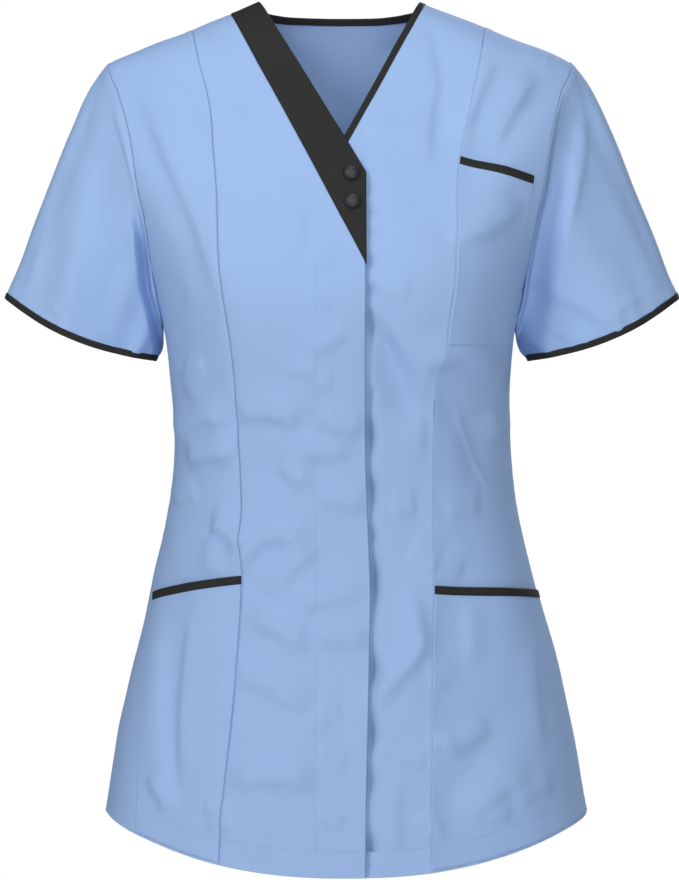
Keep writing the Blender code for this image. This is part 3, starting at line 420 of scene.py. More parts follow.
# --- Camera and studio
VIEW_DISTANCE, VIEW_CENTRE = 3.0, (-0.0021, -0.3627)
VIEW_HEIGHT, SENSOR = 0.7304, 36.0
PHOTO_HEIGHT, PHOTO_MIDDLE = 880, (339.5, 440.0)  # pixels
FRONT_SHARE, SLEEVE_FRONT = 0.93, 0.040  # how far forward a crease lies: of the form, or metres
FLOOR_LEVEL, FLOOR_RADIUS, FLOOR_CORNERS = -1.36, 4.4, 96
FLOOR_TONES, FLOOR_GLOW = ((0.90, 0.90, 0.90, 1), (0.93, 0.93, 0.93, 1)), 0.14
SURROUND = 0.13  # strength of the white surround
LIT_POINT = Vector((0.0, 0.0, -0.35))
# name, place, size, power
LAMPS = (
    ("key", (-1.7, -2.3, 1.1), 1.0, 33.0),
    ("fill", (0.9, -2.9, 0.9), 1.5, 15.0),
    ("high_light", (0.0, -3.2, 1.6), 1.5, 21.0),
    ("front_light", (-0.1, -3.2, -0.1), 1.5, 9.0),
    ("top", (0.0, -0.8, 2.4), 1.5, 17.0),
    ("back_light", (1.3, 2.4, 1.1), 1.2, 42.0),
)
# name, place, aim, cone, radius, power
SHOULDER_SPOT = ("shoulder_spot", (0.0, -3.2, 0.1), (0.0, 0.0, 0.0), np.radians(11.0), 0.25, 64.0)


# --- Reading the tables
def smooth(table, column, at):
    """A table's column, read between its rows by a smooth curve."""
    table = table[np.argsort(table[:, 0])]
    knots, values = table[:, 0], table[:, column]
    slopes = np.gradient(values, knots)
    at = np.clip(at, knots[0], knots[-1])
    i = np.clip(np.searchsorted(knots, at, side="right") - 1, 0, len(knots) - 2)
    step = knots[i + 1] - knots[i]
    t = (at - knots[i]) / step
    rise = values[i + 1] - values[i]
    start, end = slopes[i] * step, slopes[i + 1] * step
    return (values[i] + t * start + t**2 * (3 * rise - 2 * start - end)
            + t**3 * (start + end - 2 * rise))


def ramp(at, start, end):
    """0 before start, 1 after end, with a soft rise between."""
    t = np.clip((at - start) / (end - start), 0, 1)
    return t * t * (3 - 2 * t)


def bell(at, half_width):
    return np.exp(-((at / half_width) ** 2))


def unit(vectors):
    return vectors / np.maximum(np.linalg.norm(vectors, axis=-1, keepdims=True), 1e-12)


def ripple(along):
    """Uneven waves along a seam, 10 to 20 mm long, between about -1 and 1."""
    waves = (np.sin(along / 0.0017 + 1.9 * np.sin(along / 0.0131))
             + 0.7 * np.sin(along / 0.0031 + 1.3))
    return waves * (0.55 + 0.45 * np.sin(along / 0.021 + 0.6)) / 1.7


# --- Body form
def plain_form(angle, height):
    turn = np.radians(angle)
    half_width, front, back, square, sway = (smooth(FORM, k, height) for k in range(1, 6))
    sine, cosine = np.sin(turn), np.cos(turn)
    depth = np.where(cosine >= 0, front, back)
    x = sway + half_width * np.sign(sine) * np.abs(sine) ** (2 / square)
    y = -depth * np.sign(cosine) * np.abs(cosine) ** (2 / square)
    return np.stack([x, y, height + 0 * x], -1)


def form_normal(angle, height):
    turn_step, rise_step = 0.5, 0.0005
    around = plain_form(angle + turn_step, height) - plain_form(angle - turn_step, height)
    below = plain_form(angle, np.minimum(height - rise_step, 0))
    return unit(np.cross(around, plain_form(angle, height + rise_step) - below))


def softness(points):
    """Slow unevenness of cloth that hangs: waves that are longer up and down than across."""
    chance = np.random.RandomState(SOFTNESS_SEED)
    moved = np.zeros(points.shape[:-1])
    for _ in range(SOFTNESS_WAVES):
        length = SHORTEST_WAVE * LONGER_BY ** chance.rand()
        towards = chance.normal(size=3) * WAVE_WAYS
        towards = towards / np.linalg.norm(towards)
        phase = points @ (towards * 2 * np.pi / length) + chance.rand() * FULL_TURN
        moved += WAVE_SLOPE * length * np.sin(phase)
    return moved


def laid(points, folds):
    """Broad folds between two points on the front or the back."""
    x, y, z = points[..., 0], points[..., 1], points[..., 2]
    moved = np.zeros(x.shape)
    for face, x1, z1, x2, z2, half_width, rise in folds:
        length = np.hypot(x2 - x1, z2 - z1)
        along = ((x - x1) * (x2 - x1) + (z - z1) * (z2 - z1)) / length**2
        beside = ((x - x1) * (z2 - z1) - (z - z1) * (x2 - x1)) / length
        fades = (ramp(along, -FOLD_FADE, FOLD_FADE) * ramp(-along, -1 - FOLD_FADE, FOLD_FADE - 1)
                 * ramp(face * y, 0.0, BODY_TURN))
        moved += rise * fades * bell(beside, half_width)
    return moved


def from_photo(line, depth_at):
    """Where pixels of the photo lie on the tunic's front: across and height."""
    pixels = np.array(line) - PHOTO_MIDDLE
    scale = VIEW_HEIGHT / PHOTO_HEIGHT
    for _ in range(5):
        height = VIEW_CENTRE[1] - pixels[:, 1] * scale
        scale = VIEW_HEIGHT / PHOTO_HEIGHT * (1 - depth_at(height) / VIEW_DISTANCE)
    return np.stack([VIEW_CENTRE[0] + pixels[:, 0] * scale, height], -1)


def softened(steep, gentle, rise, line):
    """A front crease's widths and rise, by how faint and how long it is."""
    length = np.linalg.norm(np.diff(line, axis=0), axis=1).sum()
    for low, high, wider, broader, higher, long_higher in SOFTENED:
        if low < steep < high:
            rise *= long_higher if length > LONG_CREASE else higher
            return steep * wider, gentle * broader, rise
    return steep, gentle, rise


def crease(face, widths_and_rise, line):
    return face, *(0.001 * v for v in widths_and_rise), line


def body_creases():
    """The creases of the body: face, steep width, gentle width, rise and line, in metres."""
    def depth_at(height):
        return FRONT_SHARE * np.interp(height, FORM[:, 0], FORM[:, 2])

    front = [crease(FRONT, softened(*row), from_photo(row[-1], depth_at)) for row in FRONT_CREASES]
    return front + [crease(BACK, np.multiply(row[:3], BACK_SOFTENED), 0.001 * np.array(row[3]))
                    for row in BACK_CREASES]


def sleeve_creases():
    front = [crease(FRONT, row[:3], from_photo(row[3], lambda height: SLEEVE_FRONT))
             for row in SLEEVE_FRONT_CREASES]
    return front + [crease(BACK, row[:3], 0.001 * np.array(row[3])) for row in SLEEVE_BACK_CREASES]


def creased(points, creases, reach=BODY_TURN):
    """Creases along bent lines, on the front or the back of the tunic."""
    moved = np.zeros(points.shape[:-1])
    for face, steep, gentle, rise, line in creases:
        margin = 3 * gentle + CREASE_MARGIN
        low, high = line.min(0) - margin, line.max(0) + margin
        across, height, depth = points[..., 0], points[..., 2], face * points[..., 1]
        near = ((across > low[0]) & (across < high[0]) & (height > low[1]) & (height < high[1])
                & (depth > 0))
        if near.any():
            beside, share = beside_line(np.stack([across[near], height[near]], -1), line)
            crest = beside + steep / np.sqrt(2)
            shape = bell(crest, np.where(crest > 0, steep, gentle))
            fades = ramp(share, 0.0, CREASE_FADE) * ramp(-share, -1.0, CREASE_FADE - 1)
            moved[near] += rise * shape * fades * ramp(depth[near], 0.0, reach)
    return moved


def beside_line(at, line):
    """For points by a bent line: the distance to its right, and how far along it they lie."""
    run = np.concatenate([[0], np.cumsum(np.linalg.norm(np.diff(line, axis=0), axis=1))])
    found = np.full(len(at), 1e9)
    side, share = np.zeros(len(at)), np.zeros(len(at))
    for k, (start, end) in enumerate(zip(line, line[1:])):
        way = (end - start) / (run[k + 1] - run[k])
        from_start = at - start
        along = np.clip(from_start @ way, 0, run[k + 1] - run[k])
        gap = from_start - along[:, None] * way
        distance = np.linalg.norm(gap, axis=1)
        right = gap[:, 0] * way[1] - gap[:, 1] * way[0]
        closer = distance < found - 1e-9
        found = np.where(closer, distance, found)
        side = np.where(closer, np.where(right >= 0, distance, -distance), side)
        share = np.where(closer, (run[k] + along) / run[-1], share)
    return side, share


def relief(points, angle):
    """How far folds, creases, the bust and the hem's flutes move each point out."""
    x, y, z = points[..., 0], points[..., 1], points[..., 2]
    moved = laid(points, FOLDS) + sizes().folds * creased(points, body_creases())
    moved += softness(points)
    moved += breaks(points)
    for across, height, half_width, half_height, rise in FULLNESS:
        spread = ((x - across) / half_width) ** 2 + ((z - height) / half_height) ** 2
        moved += rise * np.exp(-spread) * ramp(-y, 0.0, BUST_TURN)
    for waves, phase, rise in FLUTES:
        moved += rise * np.cos(waves * np.radians(angle) + phase) * ramp(-z, *FLUTES_GROW)
    return moved


def breaks(points):
    """The slopes to both sides of the princess seams, which die out away from them."""
    x, y, z = points[..., 0], points[..., 1], points[..., 2]
    moved = np.zeros(x.shape)
    for seam, slope in SEAM_BREAKS:
        away = np.abs(x - smooth(seam, 1, z))
        moved += slope * away * np.exp(-away / BREAK_REACH) * ramp(-y, *BREAK_TURN)
    return moved * ramp(-z, *BREAK_TOP)


def surface(angle, height, lift=0.0):
    """Points of the cloth's outer face, moved out by lift."""
    points = plain_form(angle, height)
    moved = relief(points, angle) + lift
    return points + form_normal(angle, height) * np.asarray(moved)[..., None]


def angle_at(across, height):
    """The angle whose point on the front lies this far across."""
    half_width, square, sway = (smooth(FORM, k, height) for k in (1, 4, 5))
    share = (across - sway) / half_width
    return np.degrees(np.arcsin(np.sign(share) * np.minimum(np.abs(share), 1) ** (square / 2)))


def hem_height(angle):
    return HEM_AT_SIDE - HEM_DROP * np.abs(np.cos(np.radians(angle))) ** HEM_ROUND


# --- Edges: an angle and a height for each row
def row_heights(*stations):
    """Heights for all the rows, from stations (row, height, spacing up to the next one)."""
    heights = np.zeros(len(ROWS))
    for (row, height, spacing), (end, top, _) in zip(stations, stations[1:]):
        inside = (ROWS >= row) & (ROWS <= end)
        share = eased((ROWS[inside] - row) / (end - row), spacing)
        heights[inside] = height + (top - height) * share
    return heights


def eased(t, spacing):
    return (t, 1 - np.cos(t * np.pi / 2), np.sin(t * np.pi / 2))[spacing]


def above_hem(hem, trim):
    """Heights of the rows below the pocket trim: fixed beside the hem, then even."""
    rows = ROWS[ROWS < TRIM_LOW].reshape([-1] + [1] * max(np.ndim(hem) - 1, 0))
    base = hem + HEM_ROWS * HEM_ROW_HEIGHT
    even = base + (trim - base) * (rows - HEM_ROWS) / (TRIM_LOW - HEM_ROWS)
    return np.where(rows <= HEM_ROWS, hem + rows * HEM_ROW_HEIGHT, even)


def row_at(row):
    return int(np.searchsorted(ROWS, row - 1e-6))


def edge(angle_of, heights, top_angle):
    heights = heights.copy()
    for _ in range(4):
        angles = angle_of(heights)
        heights[ROWS < TRIM_LOW] = above_hem(hem_height(angles[HEM]), heights[row_at(TRIM_LOW)])
    angles = angle_of(heights)
    angles[-1] = top_angle
    return np.stack([angles, heights], -1)


def up_to_underarm(trim, spacing=EVEN, chest_low=CHEST_POCKET_LOW):
    """Stations from the hem to the underarm, with the rows along both edges of a pocket trim."""
    return [(HEM, HEM_AT_SIDE, EVEN), (TRIM_LOW, trim - TRIM_HEIGHT / 2, EVEN),
            (TRIM_TOP, trim + TRIM_HEIGHT / 2, EVEN), (CHEST_LOW, chest_low, EVEN),
            (UNDERARM, UNDERARM_LEVEL, spacing)]


def chest_trimmed(height):
    return [(CHEST_TRIM, height - TRIM_HEIGHT / 2, EVEN),
            (CHEST_TOP, height + TRIM_HEIGHT / 2, CLOSE_AT_END)]


def princess(table, trim, shoulder, side):
    heights = row_heights(*up_to_underarm(trim), *chest_trimmed(CHEST_TRIM_AT_PRINCESS),
                          (SHOULDER, shoulder, EVEN))
    return edge(lambda z: angle_at(smooth(table, 1, z), z), heights, side * 90.0)


def armhole_turn(heights):
    """0 at the shoulder tip, 180 at the underarm."""
    middle, half = (SHOULDER_TIP + UNDERARM_LEVEL) / 2, (SHOULDER_TIP - UNDERARM_LEVEL) / 2
    return np.degrees(np.arccos(np.clip((heights - middle) / half, -1, 1)))


def outer_edge(side, face, trim):
    """Side seam and armhole, from the hem to the shoulder tip."""
    heights = row_heights(
        *up_to_underarm(trim, CLOSE_AT_START, CHEST_POCKET_LOW + POCKET_SLANT),
        *chest_trimmed(CHEST_TRIM_AT_SIDE), (SHOULDER, SHOULDER_TIP, EVEN))

    def angle_of(z):
        seam = smooth(SIDE_SEAM, 1 if side < 0 else 2, z)
        turn = np.radians(armhole_turn(z))
        cut = np.sin(turn) * (ARM_FULL + ARM_HIGH * np.cos(turn))
        hole = 90 + face * (ARM_FRONT if face == FRONT else ARM_BACK) * cut
        return np.where(ROWS > UNDERARM, hole, seam)

    found = edge(angle_of, heights, 90.0)
    found[:, 0] *= side
    if face == BACK and side < 0:
        found[:, 0] += 360
    return found


def neck_left(inset):
    """The left front's inner edge: upright under the right front, then along the neckline."""
    start = NECK_LEFT + inset * NECK_ASLANT
    bend = (UNDERLAP_EDGE - start) / NECK_LEFT_SLOPE
    heights = row_heights(*up_to_underarm(LEFT_EDGE_TRIM), (NECK_BEND, bend, CLOSE_AT_END),
                          (SHOULDER, -SHOULDER_FALL * inset, EVEN))
    return edge(lambda z: angle_at(np.maximum(start + NECK_LEFT_SLOPE * z, UNDERLAP_EDGE), z),
                heights, 90.0)


def right_front_rows(shoulder):
    return row_heights(*up_to_underarm(RIGHT_EDGE_TRIM), (TIP, BAND_TIP, CLOSE_AT_END),
                       (SHOULDER, shoulder, EVEN))


def band_line(height):
    """How far across the contrast panel's lower edge lies, and the upright edge below it."""
    return np.minimum(BAND_OUTER + BAND_OUTER_SLOPE * height, OVERLAP_EDGE)


def front_right_edge():
    """The right front's inner edge: upright, then along the lower edge of the contrast panel."""
    shoulder = (NECK_RIGHT - BAND_OUTER) / (BAND_OUTER_SLOPE - 1 / SHOULDER_FALL)
    return edge(lambda z: angle_at(band_line(z) + smooth(EDGE_SWAY, 1, z), z),
                right_front_rows(shoulder), -90.0)


def placket_line():
    """The placket's row of stitches, carried on beside the contrast panel."""
    def angle_of(z):
        kept = PLACKET_TOP_SHARE + (1 - PLACKET_TOP_SHARE) * ramp(-z, 0.0, -BAND_TIP)
        return angle_at(band_line(z) - PLACKET_DEPTH * kept, z)

    line = edge(angle_of, right_front_rows(PLACKET_TOP), -90.0)
    line[:, 0] += (-90.0 - line[:, 0]) * ramp(ROWS, SHOULDER - 2.0, SHOULDER)
    return line


def neck_right():
    """The contrast panel's free edge, from its tip up to the shoulder."""
    heights = row_heights((HEM, HEM_AT_SIDE, EVEN), (TIP, BAND_TIP, EVEN),
                          (CHEST_TRIM, NECK_CORNER, CLOSE_AT_END), (SHOULDER, 0.0, EVEN))
    return edge(lambda z: angle_at(
        np.minimum(NECK_RIGHT + NECK_RIGHT_SLOPE * z, OVERLAP_EDGE + BAND_OVERHANG), z),
        heights, -90.0)


def back_line(side, inset=BINDING_WIDTH):
    """A line down the back: from the neckline's shoulder point, or down the middle for side 0."""
    fall = SHOULDER_FALL * inset if side else BACK_NECK_DROP + inset
    heights = row_heights(*up_to_underarm(BACK_TRIM, CLOSE_AT_END, CHEST_POCKET_LOW + POCKET_SLANT),
                          (SHOULDER, -fall, EVEN))
    found = edge(lambda z: smooth(BACK_LINE, 1, z), heights, 90.0)
    found[:, 0] = 180 - side * (180 - found[:, 0])
    return found


def all_edges():
    """Every seam and free edge by name, worked out once for the whole tunic."""
    inset = BINDING_WIDTH - UNDER_BINDING
    found = {
        "princess_right": princess(PRINCESS_RIGHT, RIGHT_TRIM[0], PRINCESS_TOP_RIGHT, -1),
        "princess_left": princess(PRINCESS_LEFT, LEFT_TRIM[0], PRINCESS_TOP_LEFT, 1),
        "front_right": front_right_edge(), "placket": placket_line(), "neck_right": neck_right(),
        "neck_left": neck_left(inset), "back_middle": back_line(0, inset),
    }
    for side, name, trims in ((-1, "right", RIGHT_TRIM), (1, "left", LEFT_TRIM)):
        found["outer_front_" + name] = outer_edge(side, FRONT, trims[1])
        found["outer_back_" + name] = outer_edge(side, BACK, trims[1])
        found["back_" + name] = back_line(side, inset)
    return found


def mixed(first, second, share):
    return first + (second - first) * share


# --- Grids
def lengths(points, axis):
    """Distance run along a grid's rows (axis 1) or columns (axis 0)."""
    steps = np.linalg.norm(np.diff(points, axis=axis), axis=-1)
    return np.insert(np.cumsum(steps, axis=axis), 0, 0, axis=axis)


def runs(angles, heights):
    """Distance run across and up a grid, on the plain form."""
    flat = plain_form(angles, heights)
    return lengths(flat, 1), lengths(flat, 0)


def shares(width, cells, close_start, close_end):
    """Where the columns lie between two edges, closer together beside a seam."""
    near = np.minimum(NEAR_SEAM / width[:, None], np.linspace(0, 0.3, len(NEAR_SEAM)))
    start = near[:, -1:] * close_start
    end = 1 - near[:, -1:] * close_end
    middle = start + (end - start) * np.linspace(0, 1, cells + 1)
    parts = ([near[:, :-1]] if close_start else []) + [middle]
    return np.hstack(parts + ([1 - near[:, -2::-1]] if close_end else []))


def chord_width(first, second, steps):
    """How wide the plain form is between two edges, for each row."""
    trial = mixed(first[:, None], second[:, None], np.linspace(0, 1, steps)[:, None])
    return lengths(plain_form(trial[..., 0], trial[..., 1]), 1)[:, -1]


def patch(edges, cells, close, bends=None, straight_above=None):
    """Angles and heights of a panel's grid. close names the edges that columns crowd towards."""
    angles, heights = [], []
    for k, (first, second) in enumerate(zip(edges, edges[1:])):
        t = shares(chord_width(first, second, WIDTH_STEPS), cells[k], close[k], close[k + 1])
        t = t if k == len(cells) - 1 else t[:, :-1]
        bend = eased(t, bends[k]) if bends else t
        if straight_above is not None:
            trial = mixed(first[:, None], second[:, None], t[..., None])
            x = plain_form(trial[..., 0], trial[..., 1])[..., 0]
            seen = (x - x[:, :1]) / (x[:, -1:] - x[:, :1])
            bend = mixed(bend, seen, ramp(ROWS, straight_above,
                                          straight_above + SEEN_STRAIGHT)[:, None])
        angles.append(mixed(first[:, None, 0], second[:, None, 0], t))
        heights.append(mixed(first[:, None, 1], second[:, None, 1], bend))
    angles, heights = np.hstack(angles), np.hstack(heights)
    low = ROWS < TRIM_LOW
    heights[low] = above_hem(hem_height(angles[low]), heights[row_at(TRIM_LOW)])
    return angles, heights


def rolled(distance):
    """The fall of a folded edge as it turns under."""
    t = np.clip(1 - distance / ROLL, 0, 1)
    return -ROLL * (1 - np.sqrt(1 - t * t))


def puckered(along, strength=1.0):
    return PUCKER * strength * sizes().puckers * ripple(along)


def seamed(distance, along, allowance=0.0, puckers=1.0):
    """The dip of a seam, the ridge of what is folded under it, and its puckers."""
    ridge = allowance * ramp(-distance, -ALLOWANCE, -ALLOWANCE + ALLOWANCE_FALL)
    waves = puckered(along, puckers) * np.exp(-distance / PUCKER_REACH)
    return ridge + waves - SEAM_DIP * bell(distance, SEAM_REACH)


def shape_of(angles, heights, start, end, top=True):
    """Lift and seam mask of a grid whose first and last column are (kind, allowance)."""
    flat = plain_form(angles, heights)
    across, up = lengths(flat, 1), lengths(flat, 0)
    lift, mask = np.zeros(angles.shape), np.zeros(angles.shape)
    quiet = LOW_SEAMS + (1 - LOW_SEAMS) * ramp(flat[..., 2], *LOW_SEAM_HEIGHTS)
    left_front = (flat[..., 0] > LEFT_FRONT_FROM) & (flat[..., 1] < -LEFT_FRONT_FROM)
    quiet = quiet * np.where(left_front, LEFT_FRONT_SEAMS, OTHER_SEAMS)
    upright = (ROWS < TIP)[:, None] if len(ROWS) == len(angles) else True
    for (kind, allowance), away in ((start, across), (end, across[:, -1:] - across)):
        sewn = seamed(away, up, allowance) * quiet
        if kind == "seam":
            lift, mask = lift + sewn, np.maximum(mask, quiet * bell(away, SEAM_REACH))
        elif kind == "free":
            lift = lift + rolled(away)
        elif kind == "free_then_seam":
            lift = lift + np.where(upright, rolled(away), sewn)
            mask = np.maximum(mask, np.where(upright, 0, bell(away, SEAM_REACH)))
    if top:
        lift, mask = shoulder_seam(lift, mask, across, up, True)
    return lift, mask


def shoulder_seam(lift, mask, across, up, where):
    """Adds the shoulder's seam along the last row."""
    away = up[-1:] - up
    return (lift + np.where(where, seamed(away, across, 0.0, SHOULDER_PUCKERS), 0),
            np.maximum(mask, np.where(where, bell(away, SEAM_REACH), 0)))


def hem_shape(lift, angles, heights):
    """A groove where the hem is stitched, and the cloth's slight roping below it."""
    across, up = runs(angles, heights)
    stitched = HEM_STITCHES * HEM_ROW_HEIGHT
    roping = ripple(across * ROPING_ACROSS + up * ROPING_UP)
    roping = roping * ramp(-up / stitched, *ROPING_FADES)
    groove = GROOVE * bell(up - stitched, GROOVE_REACH)
    return lift - groove + HEM_ROPING * sizes().puckers * roping


def with_hem(angles, heights, lift, mask):
    """Adds the hem's turned-up part: up inside, then round the fold to the panel's first row."""
    rise, turn = np.multiply(TURNED_ROWS, HEM_TURNING), np.radians(FOLD_TURNS)
    dz = np.concatenate([rise, -HEM_FOLD * np.sin(turn)])[:, None]
    inside = np.full(len(rise), 2 * HEM_FOLD)
    inward = np.concatenate([inside, HEM_FOLD * (1 - np.cos(turn))])[:, None]
    return (np.vstack([angles[:1] + 0 * dz, angles]), np.vstack([heights[:1] + dz, heights]),
            np.vstack([lift[:1] - inward, lift]), np.vstack([mask[:1] + 0 * dz, mask]))


def grid_normals(points, wrapped):
    """Unit normals of a grid, with its columns closed into a ring where wrapped."""
    if wrapped:
        around = np.roll(points, -1, 1) - np.roll(points, 1, 1)
    else:
        around = np.gradient(points, axis=1)
    return unit(np.cross(around, np.gradient(points, axis=0)))


# --- Pieces of cloth
def tunic_object(name, data):
    """A new object of the tunic, at the origin."""
    tunic = bpy.data.collections.get("tunic")
    if tunic is None:
        tunic = bpy.data.collections.new("tunic")
        bpy.context.scene.collection.children.link(tunic)
    made = bpy.data.objects.new(name, data)
    tunic.objects.link(made)
    return made


def ringed(grid, wrapped):
    """The grid, with its first column once more at its end where it runs round."""
    return np.concatenate([grid, grid[:, :1]], 1) if wrapped else grid


def corners(grid):
    """The four corners of each cell of a grid."""
    return np.stack([grid[:-1, :-1], grid[:-1, 1:], grid[1:, 1:], grid[1:, :-1]], 2)


def grid_mesh(name, points, wrapped, mask):
    """A mesh over a grid, with a UV map in metres of flat cloth and a mask of its seams."""
    index = np.arange(mask.size).reshape(mask.shape)
    mesh = bpy.data.meshes.new(name)
    mesh.from_pydata(points.reshape(-1, 3).tolist(), [],
                     corners(ringed(index, wrapped)).reshape(-1, 4).tolist())
    closed = ringed(points, wrapped)
    across, up = lengths(closed, 1), lengths(closed, 0)
    across = across - across[:, across.shape[1] // 2][:, None]
    flat = corners(np.stack([across, up], -1)).reshape(-1).astype(np.float32)
    mesh.uv_layers.new(name="flat_cloth").data.foreach_set("uv", flat)
    seams = mesh.attributes.new("seam", "FLOAT", "POINT")
    seams.data.foreach_set("value", np.asarray(mask, np.float32).reshape(-1))
    mesh.shade_smooth()
    return mesh


def add_cloth(node, points, material, mask=None, wrapped=False, wall=None):
    """A sheet of cloth in the place of a solid: its wall goes inwards from the grid."""
    mask = np.zeros(points.shape[:2]) if mask is None else mask
    piece = tunic_object(node + "_cloth", grid_mesh(node + "_cloth", points, wrapped, mask))
    piece.data.materials.append(material)
    thicken = piece.modifiers.new("cloth wall", "SOLIDIFY")
    thicken.thickness = wall or sizes().cloth
    thicken.offset = -1.0
    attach(piece, "root")
    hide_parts(node)


def overlap_lift(angles, heights):
    """The right front rises over the left one towards the middle."""
    return OVERLAP_LIFT * ramp(plain_form(angles, heights)[..., 0], LIFT_STARTS, LIFT_ENDS)


def edge_dents(angles, heights):
    """Dents in the left front beside the right front's edge."""
    x = plain_form(angles, heights)[..., 0]
    away = x - OVERLAP_EDGE - smooth(EDGE_SWAY, 1, heights)
    trough = EDGE_TROUGH * np.exp(-np.abs(away / TROUGH_REACH) ** 3)
    trough = trough * ramp(-heights, *TROUGH_STARTS)
    dents = sum(depth * bell(heights - at, half) for at, half, depth in EDGE_DENTS)
    return -trough - dents * np.exp(-np.abs(away / DENT_REACH) ** 3) - hollow(away, heights)


def hollow(away, heights):
    """The wide hollow that runs out from that edge under the bust, and widens downwards."""
    across = away / mixed(HOLLOW_TOP_WIDTH, HOLLOW_FOOT_WIDTH, ramp(-heights, *HOLLOW_WIDENS))
    return (HOLLOW * np.clip(across, 0, 1) * ramp(-across, *HOLLOW_FAR_SIDE)
            * ramp(-heights, *HOLLOW_STARTS) * ramp(heights, *HOLLOW_ENDS))


def panel(node, angles, heights, lift, mask):
    """A panel of the main cloth, with its hem turned up."""
    lift = hem_shape(lift, angles, heights)
    angles, heights, lift, mask = with_hem(angles, heights, lift, mask)
    add_cloth(node, surface(angles, heights, lift), main_cloth(), mask)


# How a panel ends at a side, and the rise of what is folded under there
SEAM, ALLOWED, FREE, BOUND = ("seam", 0.0), ("seam", ALLOWANCE_RISE), ("free", 0.0), ("bound", 0.0)


def build_front_centres(edges):
    angles, heights = patch([edges["princess_right"], edges["placket"], edges["front_right"]],
                            [CENTRE_COLUMNS, PLACKET_COLUMNS], (True, True, True))
    lift, mask = shape_of(angles, heights, SEAM, ("free_then_seam", 0.0))
    across, up = runs(angles, heights)
    line = np.argmin(np.abs(across - placket_distance(edges)), axis=1)
    away = across - np.take_along_axis(across, line[:, None], 1)
    below = (ROWS < TIP)[:, None]
    lift = lift - np.where(below, GROOVE * bell(away, GROOVE_REACH), 0)
    waves = puckered(up, PLACKET_PUCKERS) * bell(away, PLACKET_PUCKER_REACH)
    lift = lift + np.where(below, waves, 0)
    lift = lift + overlap_lift(angles, heights)
    panel("front_right_centre", angles, heights, lift, mask)
    angles, heights = patch([edges["neck_left"], edges["princess_left"]], [LEFT_CENTRE_COLUMNS],
                            (True, True))
    lift, mask = shape_of(angles, heights, BOUND, SEAM)
    panel("front_left_centre", angles, heights, lift + edge_dents(angles, heights), mask)


def placket_distance(edges):
    """How far the placket's stitches lie from the princess seam, for each row."""
    return chord_width(edges["princess_right"], edges["placket"], PLACKET_WIDTH_STEPS)[:, None]


def build_front_sides(edges):
    for node, around, start, end in (
            ("front_right_side", ["outer_front_right", "princess_right"], SEAM, ALLOWED),
            ("front_left_side", ["princess_left", "outer_front_left"], ALLOWED, SEAM)):
        angles, heights = patch([edges[e] for e in around], [SIDE_COLUMNS], (True, True),
                                straight_above=CHEST_LOW if start == ALLOWED else None)
        lift, mask = shape_of(angles, heights, start, end)
        panel(node, angles, heights, lift, mask)


def build_back(edges):
    angles, heights = patch(
        [edges[e] for e in ("outer_back_left", "back_left", "back_middle", "back_right",
                            "outer_back_right")],
        [BACK_SIDE_COLUMNS, BACK_COLUMNS, BACK_COLUMNS, BACK_SIDE_COLUMNS],
        (True, False, False, False, True), (EVEN, CLOSE_AT_END, CLOSE_AT_START, EVEN))
    lift, mask = shape_of(angles, heights, SEAM, SEAM, top=False)
    on_shoulder = np.abs(angles[-1:] - 180) > NECK_TURN
    lift, mask = shoulder_seam(lift, mask, *runs(angles, heights), on_shoulder)
    panel("back", angles, heights, lift, mask)


def contrast_grid(edges):
    grid = patch([edges["front_right"], edges["neck_right"]], [CONTRAST_COLUMNS], (True, True))
    angles, heights = (g[row_at(TIP):] for g in grid)
    lift, mask = shape_of(angles, heights, SEAM, FREE)
    return angles, heights, lift + overlap_lift(angles, heights) + PROUD, mask


def build_contrast_panel(edges):
    angles, heights, lift, mask = contrast_grid(edges)
    add_cloth("contrast_panel", surface(angles, heights, lift), contrast_cloth(),
              mask, wall=sizes().cloth * CONTRAST_WALL)


# --- Bindings: a strip folded round an edge
UNDER_BINDING = 0.0012
# in from the edge, lift
BINDING_SECTION = np.array([
    (0.00550, 0.00028), (0.00538, 0.00046), (0.00505, 0.00058), (0.00420, 0.00062),
    (0.00320, 0.00062), (0.00210, 0.00062), (0.00125, 0.00058), (0.00062, 0.00038),
    (0.00022, 0.00006), (0.00003, -0.00028), (0.00003, -0.00052), (0.00022, -0.00086),
    (0.00062, -0.00112), (0.00125, -0.00126), (0.00210, -0.00130), (0.00350, -0.00130),
    (0.00500, -0.00130), (0.00550, -0.00130),
])


def neck_edge(inset):
    """The bound neckline, from under the right front, up the left front and round the back."""
    front = neck_left(inset)[row_at(NECK_BEND):]
    t = np.arange(1, NECK_STEPS + 1) / NECK_STEPS
    side, middle = -SHOULDER_FALL * inset, -BACK_NECK_DROP - inset
    back = np.stack([90 + 180 * t, side + (middle - side) * np.sin(t * np.pi)], -1)
    return np.vstack([front, back])


def build_neck_binding():
    strips = np.array([neck_edge(inset) for inset, _ in BINDING_SECTION])
    across, _ = runs(strips[..., 0], strips[..., 1])
    waves = NECK_BINDING_WAVES * sizes().puckers * ripple(across)
    lift = BINDING_SECTION[:, 1][:, None] + waves
    add_cloth("neck_binding", surface(strips[..., 0], strips[..., 1], lift), contrast_cloth(),
              wall=BINDING_WALL)


